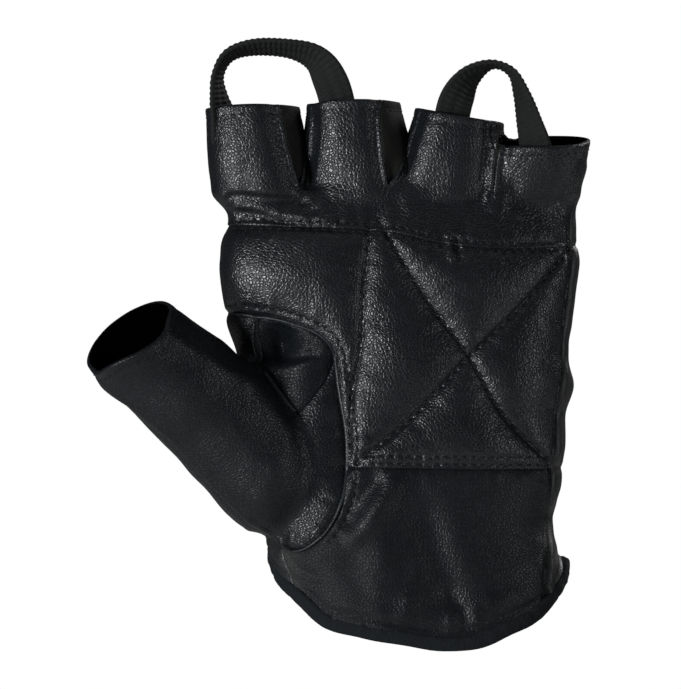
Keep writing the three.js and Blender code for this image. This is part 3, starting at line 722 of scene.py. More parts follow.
BACK, FINGERS, PAD, HEEL, THUMB_LEATHER, GUSSET, SIDE_WALLS = range(7)


def region_of(p):
    """The panel that a point of the surface belongs to."""
    x, y, z = p.T
    front = y < DIVIDER_Y
    palm = front & (x < side_seam_x(z)) & ~((x > SIDE_X) & (y > 0)) & inside(palm_outline, x, z)
    region = np.where(palm, PAD, BACK)
    region[palm & (z > np.interp(x, *band_seam.T))] = FINGERS
    region[palm & (z < np.interp(x, *pad_bottom.T))] = HEEL
    for i, table in enumerate(SLOTS.values()):
        edge, slot = slot_x(table, "edge", z), slot_x(table, "slot", z)
        near = (x > edge) & (x <= slot)
        far = (x > slot) & (x < slot + WALL_REACH) & (y > wall_front(table, z))
        region[front & (z > WEB_Z - 0.4) & (near | far)] = SIDE_WALLS + i
    thumb = np.where(front, inside(thumb_front_outline, x, z), inside(thumb_back_outline, x, z))
    region[thumb] = THUMB_LEATHER
    region[thumb & front & inside(gusset_outline, x, z)] = GUSSET
    return region


def cut_panels(points, triangles):
    """The surface cut along its rims and seams, without what is past the rims."""
    locked = np.zeros(len(points), bool)
    lines = [
        past_rims,
        lambda p: p[:, 1] - DIVIDER_Y,
        lambda p: p[:, 0] - side_seam_x(p[:, 2]),
        signed(low_side, palm_outline),
        lambda p: p[:, 2] - np.interp(p[:, 0], *band_seam.T),
        signed(thumb_arc, thumb_front_outline),
        signed(thumb_back_arc, thumb_back_outline),
        signed(gusset_left, gusset_outline),
        signed(gusset_right, gusset_outline),
        lambda p: p[:, 2] - np.interp(p[:, 0], *pad_bottom.T),
    ]
    for table in SLOTS.values():
        for column in ("edge", "slot"):
            lines.append(above_web(lambda p, t=table, c=column: p[:, 0] - slot_x(t, c, p[:, 2])))
        lines.append(above_web(side_wall_cut(table)))
    for line in lines:
        points, triangles, locked = cut_along(points, triangles, locked, line)
        if line is past_rims:
            middle = points[triangles].mean(1)
            triangles = triangles[past_rims(middle) < 0]
    return points, triangles


def refined(points, triangles, reach=1.8, longest=0.55):
    """The surface with its long edges halved near the stitch rows and slots of the palm side."""
    lines = [line for line, _ in stitch_lines()]
    for table in SLOTS.values():
        lines += [np.stack([table[column], table["z"]], 1) for column in ("edge", "slot")]
    for _ in range(2):
        edges, _ = edges_of(triangles)
        ends = points[edges]
        middle = ends.mean(1)
        close = np.full(len(edges), FAR)
        front = middle[:, 1] < 0
        x, _, z = middle[front].T
        close[front] = np.minimum.reduce([away_from(line, x, z) for line in lines])
        chosen = (close < reach) & (np.linalg.norm(ends[:, 0] - ends[:, 1], axis=1) > longest)
        points, triangles = split_edges(points, triangles, chosen, np.full(len(edges), 0.5))
    return points, triangles


GROOVE = {"depth": 0.75, "width": 0.85, "wide_depth": 0.45, "wide_width": 2.6}


def waves(place, lengths, seed):
    """A smooth random line between about -1 and 1, made of waves of the given lengths."""
    draw = np.random.default_rng(seed)
    return sum(np.sin(2 * np.pi * (place / n + draw.random())) for n in lengths) / len(lengths)


def ripples(p, length, seed, count=14):
    """A smooth random field between about -1 and 1."""
    draw = np.random.default_rng(seed)
    total = 0
    for _ in range(count):
        direction = unit(draw.normal(size=3)) * draw.uniform(0.7, 1.4)
        total = total + np.sin(p @ direction * 2 * np.pi / length + draw.uniform(0, 6.3))
    return total / math.sqrt(count)


def bump(distance, width):
    return np.exp(-(distance / width) ** 2)


def groove(distance, scale=1.0):
    """A seam sunk in narrowly, in a shallow wide hollow."""
    g = GROOVE
    narrow = g["depth"] * bump(distance, g["width"])
    return -scale * (narrow + g["wide_depth"] * bump(distance, g["wide_width"]))


def off_seams(x, z):
    """Distance to the nearest seam or stitched channel of the padded patch."""
    away = [away_from(line, x, z) for line in (band_seam, thumb_arc, pad_bottom, *channels)]
    return np.minimum.reduce([*away, np.abs(x - side_seam_x(z))])


def in_patch(x, z):
    across = (x < side_seam_x(z)) & ~inside(thumb_front_outline, x, z)
    return across & (z < np.interp(x, *band_seam.T)) & (z > np.interp(x, *pad_bottom.T))


# The cloth that gives the patch its form: grid, distance held beside the seams and greatest height
# in millimetres, size of the simulated copy, spare length, pressure, stiffnesses and frames
PATCH = {
    "grid": 1.1, "held": 0.9, "most": 3.2, "scale": 10.0, "spare": 0.007, "pressure": 24.0,
    "bending": 5.0, "stretching": 3.0, "frames": 24,
}


def linked(name, data):
    """A new object in the scene."""
    made = bpy.data.objects.new(name, data)
    bpy.context.scene.collection.objects.link(made)
    return made


def patch_cloth(start, quads, held):
    """A cloth of the given points with some held, facing the palm side."""
    data = bpy.data.meshes.new("patch")
    data.from_pydata(start.tolist(), [], quads.tolist())
    patch = linked("patch", data)
    pins = patch.vertex_groups.new(name="held")
    pins.add(np.flatnonzero(held).tolist(), 1.0, "REPLACE")
    cloth = patch.modifiers.new("blown", "CLOTH")
    cloth.point_cache.frame_start, cloth.point_cache.frame_end = 1, PATCH["frames"]
    cloth.collision_settings.use_collision = False
    settings = cloth.settings
    settings.quality = 6
    settings.vertex_group_mass = "held"
    settings.use_pressure = True
    settings.uniform_pressure_force = PATCH["pressure"]
    settings.shrink_min = -PATCH["spare"]
    settings.bending_stiffness = PATCH["bending"]
    settings.tension_stiffness = settings.compression_stiffness = PATCH["stretching"]
    settings.effector_weights.gravity = 0
    return patch


def every_pair(a, b):
    """Each value of a with each of b, as two long rows."""
    return (values.ravel() for values in np.meshgrid(a, b, indexing="ij"))


def grid_corners(long, wide):
    """The four corners of each cell in a grid of points, going round it."""
    i, k = every_pair(np.arange(long - 1), np.arange(wide - 1))
    first = i * wide + k
    return first, first + wide, first + wide + 1, first + 1


def blown_heights(x, z, quads):
    """How far a cloth over the patch, held along seams and channels, is blown out at its points."""
    held = ~in_patch(x, z) | (off_seams(x, z) < PATCH["held"])
    used, quads = np.unique(quads[~held[quads].all(1)], return_inverse=True)
    size = PATCH["scale"] * MM
    start = np.stack([x, np.zeros_like(x), z], 1)[used] * size
    patch = patch_cloth(start, quads.reshape(-1, 4), held[used])
    for moment in range(1, PATCH["frames"] + 1):
        bpy.context.scene.frame_set(moment)
    result = patch.evaluated_get(bpy.context.evaluated_depsgraph_get()).to_mesh()
    moved = np.empty(3 * len(used))
    result.vertices.foreach_get("co", moved)
    height = np.zeros(len(x))
    height[used] = np.clip(-moved.reshape(-1, 3)[:, 1] / size, -0.3, PATCH["most"])
    bpy.data.objects.remove(patch)
    bpy.context.scene.frame_set(1)
    return height


def blown_swell():
    """How far the padded patch stands out, as a function of place, read from the blown cloth."""
    gx, gz = np.arange(-60, 46, PATCH["grid"]), np.arange(22, 98, PATCH["grid"])
    x, z = every_pair(gx, gz)
    quads = np.stack(grid_corners(len(gx), len(gz)), 1)
    height = blown_heights(x, z, quads).reshape(len(gx), len(gz))

    def swell(x, z):
        a = np.clip((x - gx[0]) / PATCH["grid"], 0, len(gx) - 1.001)
        b = np.clip((z - gz[0]) / PATCH["grid"], 0, len(gz) - 1.001)
        i, k = a.astype(int), b.astype(int)
        fa, fb = a - i, b - k
        near = height[i, k] * (1 - fb) + height[i, k + 1] * fb
        far = height[i + 1, k] * (1 - fb) + height[i + 1, k + 1] * fb
        return near * (1 - fa) + far * fa

    return swell


def palm_rows():
    """The stitch rows on the palm side by piece: lines in the palm's plane and their pitches."""
    band = clipped(band_seam, -57, 41)
    bottom = clipped(pad_bottom, -19.5, 37)
    beside_pad = [shifted(band, -1.1), shifted(bottom, 1.0), shifted(bottom, 3.1)]
    in_channels = [clipped(line, z0=29, z1=91) for line in channels]
    arc = clipped(shifted(thumb_arc, 2.7), -53.5, 0, 4, FAR)
    return {
        "finger_stitches": [(shifted(band, 1.1), STITCH_PITCH)],
        "pad_stitches": [(line, STITCH_PITCH) for line in beside_pad]
        + [(line, CHANNEL_PITCH) for line in in_channels],
        "thumb_arc_stitches": [(arc, STITCH_PITCH)],
    }


def stitch_lines():
    """All the stitched lines on the palm side, with their pitches."""
    return [stitched for group in palm_rows().values() for stitched in group]


POCKET = {"x": -42.5, "z": 59.5, "deep": 7.0, "wide": 6.0, "oval": 1.3}


def crotch_pocket(x, z):
    """Depth of the hollow between the thumb and the palm, under the arc's lip."""
    below_arc = away_from(thumb_arc, x, z) * inside(thumb_front_outline, x, z)
    beside_roll = away_from(gusset_left, x, z) * inside(gusset_outline, x, z)
    c = POCKET
    hollow = c["deep"] * bump(np.hypot((x - c["x"]) / c["oval"], z - c["z"]), c["wide"])
    return hollow * ease(below_arc, 0, 2.0) * (0.3 + 0.7 * ease(beside_roll, -0.5, 5.0))


NEEDLE = {"track": 0.2, "track_width": 0.9, "pit": 0.26, "pit_width": 0.55}


def needle_holes(line, pitch, x, z):
    """A stitched line's sunk track, with a small pit at each end of a stitch."""
    away, place, _ = to_line(line, x, z)
    along = np.abs((place / pitch + 0.5) % 1 - 0.5) * pitch
    n = NEEDLE
    pits = n["pit"] * bump(np.hypot(away, along), n["pit_width"])
    return -n["track"] * bump(away, n["track_width"]) - pits


# The puckers beside a seam: their lengths along it, and how far they reach to its sides
PUCKERS = {"lengths": (3.9, 6.1, 9.7), "from": 1.5, "to": 6.0}

# The seams of the palm side: line, scale of the groove and height of the puckers
SEAMS = [
    (band_seam, 0.45, 0.22), (thumb_arc, 0.9, 0.3), (pad_bottom, 0.4, 0.18), (gusset_left, 0.8, 0.0),
    (gusset_right, 0.5, 0.0), *((line, 0.55, 0.16) for line in channels),
]


def palm_share(y):
    """1 on the palm side and 0 on the back, with a short change between them."""
    return ease(-y, -DIVIDER_Y, 2 - DIVIDER_Y)


def fold_relief(x, z):
    """The folds and creases of the palm side."""
    out = np.zeros(len(x))
    for i in range(len(FOLDS["x0"])):
        f = row(FOLDS, i)
        away = away_from([(f["x0"], f["z0"]), (f["x1"], f["z1"])], x, z)
        out -= f["depth"] * bump(away, f["width"])
    for line, height, width in OVERHANGS:
        away, _, side = to_line(smooth_line(line, 2), x, z)
        offset = away * side / width
        out += height * (bump(offset - 0.7, 1) - bump(offset + 0.7, 0.7))
    return out


def seam_relief(x, y, z):
    """The grooves and puckers of the palm side's seams, and the needle holes beside them."""
    out = np.zeros(len(x))
    for line, scale, pucker in SEAMS:
        away, place, _ = to_line(line, x, z)
        out += groove(away, scale)
        beside = bump(away, PUCKERS["to"]) * (1 - bump(away, PUCKERS["from"]))
        out += pucker * waves(place, PUCKERS["lengths"], 7) * beside
    for line, pitch in stitch_lines():
        out += (y < 0) * needle_holes(line, pitch, x, z)
    return out


# The side seam: depth of its groove, height and unevenness of the rolled edge, height of the slow
# waves beside it, and the levels between which groove and roll fade
SIDE = {"groove": 0.9, "roll": 0.45, "uneven": 0.25, "slow": 0.35, "fade": (92, 99)}


def side_relief(x, z, front):
    """The side seam's groove, the edge rolled up beside it, and slow waves over the side."""
    beside = x - side_seam_x(z)
    above_band = ease(z, *SIDE["fade"])
    sunk = SIDE["groove"] * bump(beside + 0.5, 0.7) * (1 - 0.6 * above_band)
    rolled = (SIDE["roll"] + SIDE["uneven"] * waves(z, (7, 13, 19), 5)) * (1 - 0.8 * above_band)
    raised = ease(x, SIDE_X, SIDE_X + 4) * bump(beside - 0.9, 0.8) * rolled
    slow = SIDE["slow"] * waves(z, (14, 23, 37), 9)
    return raised + ease(beside, 1, 4) * slow - front * sunk


# The rims: how far below them the relief reaches, and the level that parts them from the hem, then
# the height of the turned leather, how far below the rim it is sewn and how deep that is sunk, the
# height of the edge, and how far the leather is pulled in above the binding
RIM = {
    "reach": 6, "above": 20, "turned": 0.12, "sewn": 2.4, "sunk": 0.2, "edge": 0.1, "above_binding": 0.7,
}


def rim_relief(p):
    """The turned and stitched rims, and the leather pulled in above the binding."""
    past, z = past_rims(p), p[:, 2]
    at_rim = (past > -RIM["reach"]) & (z > RIM["above"])
    thicker = RIM["turned"] * ease(past, -2.8, -RIM["sewn"])
    sewn = RIM["sunk"] * bump(past + RIM["sewn"], 0.5)
    edge = RIM["edge"] * bump(past + 0.7, 0.6)
    pulled_in = RIM["above_binding"] * bump(past + BINDING + 1.0, 0.9)
    return at_rim * (thicker - sewn + edge) - (z < RIM["above"]) * pulled_in


def relief(p):
    """How far the outer face stands out from the plain form."""
    x, y, z = p.T
    front = palm_share(y)
    out = 0.15 * ripples(p, 21, 1) + 0.06 * ripples(p, 8, 2)
    out += front * (fold_relief(x, z) + seam_relief(x, y, z) - crotch_pocket(x, z))
    out += side_relief(x, z, front) + rim_relief(p)
    out += (1 - front) * groove(away_from(thumb_back_arc, x, z), 0.8)
    out += groove(np.abs(y - DIVIDER_Y), 0.7) * (x < SIDE_X) * (z > 66)
    return out


def finger_edges(x, z, front):
    """The finger leather's edges, raised along the band seam and rolled along the slots."""
    out = 0.45 * front * bump(away_from(band_seam, x, z), 1.0)
    for table in SLOTS.values():
        shown = front * ease(z, table["z"][0] - 2, table["z"][0] + 3)
        for column, turn in (("edge", -1), ("slot", 1)):
            inward = (x - slot_x(table, column, z)) * turn
            rolled = 0.4 * bump(inward - 0.4, 0.5)
            flat = 0.35 * ease(inward, 0.7, 1.4) * (1 - ease(inward, 2.4, 3.8))
            out += shown * (rolled - flat) * (inward > -0.5)
    return out


def wall_folds(i, x, z, front):
    """How a side wall stands out, and how it is folded in at the middle of its slot."""
    table = list(SLOTS.values())[i]
    middle = np.abs(x - (slot_x(table, "edge", z) + slot_x(table, "slot", z)) / 2)
    return WALL_FOLD[i] * (0.45 - front * 1.6 * bump(middle, 1.9) * ease(-z, -118, -106))


ARC_HOLLOW = {"deep": 2.4, "wide": 7.0}  # how the thumb leather sinks in beside its arc
GUSSET_SET_BACK = 0.5


def own_relief(number, p):
    """What only one panel's face does: lapped edges raised, and walls and gusset set back."""
    x, y, z = p.T
    front = palm_share(y)
    out = np.zeros(len(p))
    if number == FINGERS:
        out += finger_edges(x, z, front)
    if number >= SIDE_WALLS:
        out += wall_folds(number - SIDE_WALLS, x, z, front)
    if number == PAD:
        out += 0.3 * front * bump(away_from(pad_bottom, x, z), 0.9)
    if number == HEEL:
        out -= 0.25 * bump(away_from(pad_bottom, x, z), 1.2)
    if number == GUSSET:
        out -= GUSSET_SET_BACK
    if number in (GUSSET, THUMB_LEATHER):
        beside_arc = bump(away_from(thumb_arc, x, z), ARC_HOLLOW["wide"]) * ease(x, -40, -30)
        out -= ARC_HOLLOW["deep"] * front * beside_arc * ease(z, 14, 26) * ease(-z, -63, -55)
    return out


def open_rim(triangles, n):
    """The sides that belong to one triangle only, in a mesh of n points."""
    sides = sides_of(triangles)
    key = np.sort(sides, axis=1) @ [n, 1]
    _, first, count = np.unique(key, return_index=True, return_counts=True)
    return sides[first[count == 1]]


def rounded_edges(outer, inner, normals, triangles, bulge, segments=4):
    """A closed wall between an outer and an inner face, with a rounded edge all round, and 1 for
    those of its triangles that show the flesh side."""
    used, triangles = np.unique(triangles, return_inverse=True)
    triangles = triangles.reshape(-1, 3)
    outer, inner, normals = outer[used], inner[used], normals[used]
    n = len(used)
    rim = open_rim(triangles, n)
    outward = np.zeros((n, 3))
    across = np.cross(outer[rim[:, 1]] - outer[rim[:, 0]], normals[rim[:, 0]])
    for side in (0, 1):
        np.add.at(outward, rim[:, side], across)
    outward = unit(outward)
    on_rim = np.unique(rim)
    number = np.full(n, -1)
    number[on_rim] = np.arange(len(on_rim))
    layers, rings = [outer, inner], [np.arange(n)]
    for k in range(1, segments):
        turn = math.pi * k / segments
        mixed = outer * (1 + math.cos(turn)) / 2 + inner * (1 - math.cos(turn)) / 2
        layers.append((mixed + outward * bulge * math.sin(turn))[on_rim])
        rings.append(2 * n + (k - 1) * len(on_rim) + number)
    rings.append(n + np.arange(n))
    a, b = rim.T
    faces = [triangles, triangles[:, ::-1] + n]
    for here, there in zip(rings[:-1], rings[1:]):
        faces += [np.stack([here[b], here[a], there[a]], 1), np.stack([here[b], there[a], there[b]], 1)]
    kind = np.zeros(sum(map(len, faces)), int)
    kind[len(triangles):2 * len(triangles)] = 1
    kind[-4 * len(rim):] = 1
    return np.concatenate(layers), np.concatenate(faces), kind


def piece(name, points, triangles, materials, nodes=(), slot=None, kind=None):
    """A mesh object of the glove, from points in millimetres. Kind is each triangle's material."""
    data = bpy.data.meshes.new(name)
    data.vertices.add(len(points))
    data.vertices.foreach_set("co", (np.asarray(points, np.float32) * MM).ravel())
    triangles = np.asarray(triangles, np.int32)
    data.loops.add(triangles.size)
    data.loops.foreach_set("vertex_index", triangles.ravel())
    data.polygons.add(len(triangles))
    data.polygons.foreach_set("loop_start", np.arange(0, triangles.size, 3, dtype=np.int32))
    data.polygons.foreach_set("loop_total", np.full(len(triangles), 3, np.int32))
    for material in materials:
        data.materials.append(material)
    if kind is not None:
        data.polygons.foreach_set("material_index", kind.astype(np.int32))
    data.update(calc_edges=True)
    data.validate()
    data.shade_smooth()
    made = linked(name, data)
    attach(made, "root")
    if nodes:
        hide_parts(*nodes)
    return made


# Materials

def node_material(name, colour, roughness):
    material = bpy.data.materials.new(name)
    material.use_nodes = True
    tree = material.node_tree
    shader = tree.nodes["Principled BSDF"]
    shader.inputs["Base Color"].default_value = (*colour, 1)
    shader.inputs["Roughness"].default_value = roughness
    coordinates = tree.nodes.new("ShaderNodeTexCoord")
    return material, tree, shader, coordinates.outputs["Object"]


def add(tree, kind, inputs=None, **settings):
    """A node with its settings, and its inputs given as values or linked from sockets."""
    node = tree.nodes.new("ShaderNode" + kind)
    for key, value in settings.items():
        setattr(node, key, value)
    for key, value in (inputs or {}).items():
        if isinstance(value, bpy.types.NodeSocket):
            tree.links.new(value, node.inputs[key])
        else:
            node.inputs[key].default_value = value
    return node


def ramp(tree, value, start, end, low=0.0, high=1.0):
    """A socket that goes from low to high while a value goes from start to end."""
    return add(tree, "MapRange", {0: value, 1: start, 2: end, 3: low, 4: high}).outputs[0]


def maths(tree, operation, *values):
    return add(tree, "Math", dict(enumerate(values)), operation=operation).outputs[0]


def blend(tree, share, first, second, way="MIX"):
    """A socket with two colours blended."""
    inputs = {"Factor": share, "A": first, "B": second}
    return add(tree, "Mix", inputs, data_type="RGBA", blend_type=way).outputs[2]


def emboss(tree, shader, height, strength, distance):
    bumped = add(tree, "Bump", {"Height": height, "Strength": strength, "Distance": distance})
    tree.links.new(bumped.outputs["Normal"], shader.inputs["Normal"])


# How fine the leather's pattern is, for each metre, and how far its pebbles are moved, in metres
GRAIN = {"pebbles": 1150.0, "warp": 300.0, "pores": 3200.0, "patches": 45.0, "moved": 0.0008}


def leather(name, colour, roughness=0.27, grain=0.00027, shine=0.5):
    """Fine pebbled leather: cells just under a millimetre across, with creases between them. Its colour
    has painted shade in the creases and is lighter on the cells' tops.
    """
    material, tree, shader, place = node_material(name, colour, roughness)
    shader.inputs["Specular IOR Level"].default_value = shine
    warp = add(tree, "TexNoise", {"Vector": place, "Scale": GRAIN["warp"], "Detail": 2.0})
    moved = add(tree, "VectorMath", {0: warp.outputs["Color"], "Scale": GRAIN["moved"]}, operation="SCALE")
    at = add(tree, "VectorMath", {0: place, 1: moved.outputs[0]}, operation="ADD").outputs[0]
    squeezed = add(tree, "VectorMath", {0: at, 1: (0.9, 1.0, 1.1)}, operation="MULTIPLY").outputs[0]
    pattern = {"Vector": squeezed, "Scale": GRAIN["pebbles"], "Randomness": 0.9}
    cells = add(tree, "TexVoronoi", pattern, feature="DISTANCE_TO_EDGE").outputs["Distance"]
    dome = maths(tree, "SMOOTH_MIN", cells, 0.24, 0.16)
    fine = add(tree, "TexNoise", {"Vector": place, "Scale": GRAIN["pores"], "Detail": 2.0}).outputs["Fac"]
    emboss(tree, shader, maths(tree, "MULTIPLY_ADD", fine, 0.05, dome), 1.0, grain)
    noise = {"Vector": place, "Scale": GRAIN["patches"], "Detail": 3.0}
    patches = add(tree, "TexNoise", noise).outputs["Fac"]
    uneven = ramp(tree, patches, 0.3, 0.7, roughness - 0.03, roughness + 0.05)
    crease = ramp(tree, dome, 0.0, 0.12, 0.2, 0.0)
    tree.links.new(maths(tree, "ADD", uneven, crease), shader.inputs["Roughness"])
    dark, light = (tuple(c * share for c in colour) + (1.0,) for share in (0.7, 1.3))
    tint = blend(tree, patches, dark, light)
    # painted shade: the base colour darkened in the creases between the pebbles and lightened on their
    # tops
    painted_crease_shade = ramp(tree, dome, 0.0, 0.17, 0.25, 1.3)
    tree.links.new(blend(tree, 1.0, tint, painted_crease_shade, "MULTIPLY"), shader.inputs["Base Color"])
    return material


def cloth(name, colour, roughness=0.85, scale=1500.0, strength=0.4, shine=0.2):
    material, tree, shader, place = node_material(name, colour, roughness)
    shader.inputs["Specular IOR Level"].default_value = shine
    weave = add(tree, "TexVoronoi", {"Vector": place, "Scale": scale})
    emboss(tree, shader, weave.outputs["Distance"], strength, 0.0002)
    return material


def dulled_corner_painted_highlight(material):
    """The leather rubbed dull low on the thumb side, with a painted highlight in brownish grey where it
    turns round.
    """
    tree = material.node_tree
    shader = tree.nodes["Principled BSDF"]
    place = add(tree, "SeparateXYZ", {0: tree.nodes["Texture Coordinate"].outputs["Object"]}).outputs
    round_side = ramp(tree, place["Y"], -0.0195, -0.0150)
    thumb_side = ramp(tree, place["X"], -0.029, -0.034)
    colour = shader.inputs["Base Color"].links[0].from_socket
    # painted highlight: a lighter brownish grey mixed into the colour where the leather turns round on the
    # thumb side
    painted_highlight = blend(tree, maths(tree, "MULTIPLY", round_side, thumb_side), colour, PAINTED_HIGHLIGHT_GREY)
    tree.links.new(painted_highlight, shader.inputs["Base Color"])
    low_down = ramp(tree, place["Z"], 0.016, 0.002)
    near_thumb = ramp(tree, place["X"], -0.010, -0.020, 0.0, 0.25)
    smooth = shader.inputs["Roughness"].links[0].from_socket
    dull = maths(tree, "ADD", smooth, maths(tree, "MULTIPLY", low_down, near_thumb))
    tree.links.new(dull, shader.inputs["Roughness"])
    return material


# the brownish grey of the painted highlight at the heel's corner
PAINTED_HIGHLIGHT_GREY = (0.026, 0.025, 0.0245, 1)
BLACK_LEATHER = (0.0066, 0.0082, 0.0108)
palm_leather = leather("palm_leather", BLACK_LEATHER)
pad_leather = leather("pad_leather", BLACK_LEATHER, shine=0.55)
thumb_leather = leather("thumb_leather", BLACK_LEATHER, 0.29, shine=0.38)
heel_leather = dulled_corner_painted_highlight(leather("heel_leather", BLACK_LEATHER, 0.34, shine=0.33))
gusset_leather = leather("gusset_leather", BLACK_LEATHER, 0.34, shine=0.22)
# lighter than the black leather: partly the piping's own tone and partly painted light for the light its
# raised rolls catch
welt_leather = leather("welt_leather", (0.016, 0.0195, 0.0225), 0.33, 0.00012)
back_leather = leather("back_leather", (0.018, 0.0185, 0.020), 0.36, 0.00014)
# the inner face's own dark colour taken down to near black, as painted shade inside the glove and its
# openings
flesh_side_painted_shade = cloth("flesh_side_painted_shade", (0.0006, 0.0006, 0.0007), 1.0, shine=0.0)
side_cloth = cloth("side_cloth", (0.012, 0.013, 0.0105), 0.8)
binding_cloth = cloth("binding_cloth", (0.0105, 0.0125, 0.0150), 0.85, 1100.0, 1.0)

# The form of the glove, cut into its panels
field = glove_field()
gradient = np.stack(np.gradient(field, STEP), -1)
points, triangles = surface_net(field)
points = relaxed(points, triangles, field, gradient)
points, triangles = cut_panels(points, triangles)
points, triangles = refined(points, triangles)
region = region_of(points[triangles].mean(1))
normals = unit(sample(gradient, points))
shared_relief = relief(points)
pad_swell = blown_swell()

# Leather and cloth panels
PANELS = {
    BACK: ("back_panel", back_leather, "back_leather"),
    FINGERS: ("finger_panel", palm_leather, "glove_leather"),
    PAD: ("palm_pad", pad_leather, "padded_leather"),
    HEEL: ("heel_panel", heel_leather, "glove_leather"),
    THUMB_LEATHER: ("thumb_panel", thumb_leather, "glove_leather"),
    GUSSET: ("thumb_gusset", gusset_leather, "glove_leather"),
}
PANELS.update({SIDE_WALLS + i: (name, side_cloth, "side_cloth") for i, name in enumerate(SLOTS)})


def panel_shell(number, node, material, slot):
    """One panel as a shell of leather or cloth. Gives its outer face."""
    used, own = np.unique(triangles[region == number], return_inverse=True)
    own = own.reshape(-1, 3)
    base, facing = points[used], normals[used]
    out = shared_relief[used] + own_relief(number, base)
    if number == PAD:
        out += pad_swell(base[:, 0], base[:, 2]) * ease(-base[:, 1], 3, 13)
    outer = base + facing * out[:, None]
    inner = base + facing * np.minimum(-LEATHER, out - LEATHER)[:, None]
    shell, faces, kind = rounded_edges(outer, inner, facing, own, EDGE_BULGE)
    ending = "_cloth" if material is side_cloth else "_leather"
    panel = piece(node + ending, shell, faces, [material, flesh_side_painted_shade], [node], slot, kind)
    return outer, own


# Trims

def merged(parts):
    """Several meshes as one."""
    starts = np.cumsum([0] + [len(points) for points, _ in parts[:-1]])
    faces = [triangles + start for (_, triangles), start in zip(parts, starts)]
    return np.concatenate([points for points, _ in parts]), np.concatenate(faces)


skins = [panel_shell(number, *made_of) for number, made_of in PANELS.items()]
skin_points, skin_triangles = merged(skins)
skin_tree = BVHTree.FromPolygons(skin_points.tolist(), skin_triangles.tolist())


def smoothed(values, rounds=3):
    """A run of vectors evened out along its length."""
    for _ in range(rounds):
        padded = np.concatenate([values[:1], values, values[-1:]])
        values = (padded[:-2] + 2 * padded[1:-1] + padded[2:]) / 4
    return values


def laid(p):
    """The nearest points of the skin to the given ones, and how the skin faces there."""
    found = [skin_tree.find_nearest(Vector(q)) for q in p]
    places = np.array([f[0] for f in found])
    faces = np.array([f[1] for f in found])
    return places, unit(smoothed(faces))


def on_front(line):
    """A line in the palm's plane laid on the front of the glove: its points, how the skin faces there,
    and the place of each along the line."""
    hits = [skin_tree.ray_cast(Vector((x, -FAR, z)), Vector((0, 1, 0))) for x, z in line]
    found = [k for k, h in enumerate(hits) if h[0] is not None]
    places, faces = (np.array([hits[k][part] for k in found]) for part in (0, 1))
    return places, unit(smoothed(faces)), lengths_along(line)[found]


def sweep(path, facing, section, closed=False):
    """A solid swept along a path. section(i, share) gives its outline as offsets across and out."""
    along = np.roll(path, -1, 0) - np.roll(path, 1, 0) if closed else np.gradient(path, axis=0)
    along = unit(along)
    across = unit(np.cross(along, facing))
    out_way = np.cross(across, along)
    rings = []
    for i in range(len(path)):
        outline = np.asarray(section(i, i / (len(path) - 1)))
        rings.append(path[i] + outline[:, :1] * across[i] + outline[:, 1:] * out_way[i])
    sides, n = len(rings[0]), len(rings)
    p = np.concatenate(rings)
    i, j = every_pair(np.arange(n if closed else n - 1), np.arange(sides))
    here, there, beside = i * sides, (i + 1) % n * sides, (j + 1) % sides
    a, b, c, d = here + j, here + beside, there + j, there + beside
    faces = [np.stack([a, b, d], 1), np.stack([a, d, c], 1)]
    if not closed:
        hubs = np.stack([rings[0].mean(0), rings[-1].mean(0)])
        k, last = np.arange(sides), (n - 1) * sides
        after = (k + 1) % sides
        faces.append(np.stack([np.full(sides, len(p)), after, k], 1))
        faces.append(np.stack([np.full(sides, len(p) + 1), last + k, last + after], 1))
        p = np.concatenate([p, hubs])
    return p, np.concatenate(faces)


def signed_power(v, power):
    return np.sign(v) * np.abs(v) ** power


def squarish(count, power):
    """Points round a rounded square that reaches from -1 to 1."""
    angle = 2 * np.pi * np.arange(count) / count
    return signed_power(np.stack([np.cos(angle), np.sin(angle)], 1), 2 / power)


# The places of a stitch's rings, from -0.5 at one end to 0.5 at the other
STITCH_RINGS = (-0.5, -0.42, -0.22, 0.22, 0.42, 0.5)
STITCH_SIDES = 6


def capsule_faces(rings, sides):
    """The triangles of a tube with closed ends, given as rings of points."""
    faces = []
    for r in range(rings - 1):
        for k in range(sides):
            a, b = r * sides + k, r * sides + (k + 1) % sides
            faces += [(a, b, b + sides), (a, b + sides, a + sides)]
    last = (rings - 1) * sides
    for k in range(1, sides - 1):
        faces += [(0, k + 1, k), (last, last + k, last + k + 1)]
    return np.array(faces)


def stitch_row(path, facing, length=None, pitch=STITCH_PITCH, share=0.78, radius=0.3):
    """A small thread capsule for each stitch along a path, whose places are given or measured."""
    if length is None:
        length = lengths_along(path)
    centres = np.arange(math.ceil(length[0] / pitch) + 0.5, length[-1] / pitch) * pitch
    middle = read_at(path, length, centres)
    along = unit(read_at(unit(np.gradient(path, axis=0)), length, centres))
    out = unit(read_at(facing, length, centres))
    slant = rng.uniform(0.05, 0.22, len(centres))[:, None]
    along = unit(along + unit(np.cross(out, along)) * slant)
    side = unit(np.cross(out, along))
    points = []
    for place in STITCH_RINGS:
        thick = radius * math.sqrt(max(0.0, 1 - (2 * abs(place)) ** 4)) + 0.02
        height = 0.06 - 0.5 * (2 * abs(place)) ** 2.5
        for angle in 2 * np.pi * np.arange(STITCH_SIDES) / STITCH_SIDES:
            up = out * (height + thick * math.sin(angle))
            points.append(middle + along * place * pitch * share + side * thick * math.cos(angle) + up)
    faces = capsule_faces(len(STITCH_RINGS), STITCH_SIDES)
    starts = len(points) * np.arange(len(centres))[:, None, None]
    return np.stack(points, 1).reshape(-1, 3), (faces + starts).reshape(-1, 3)


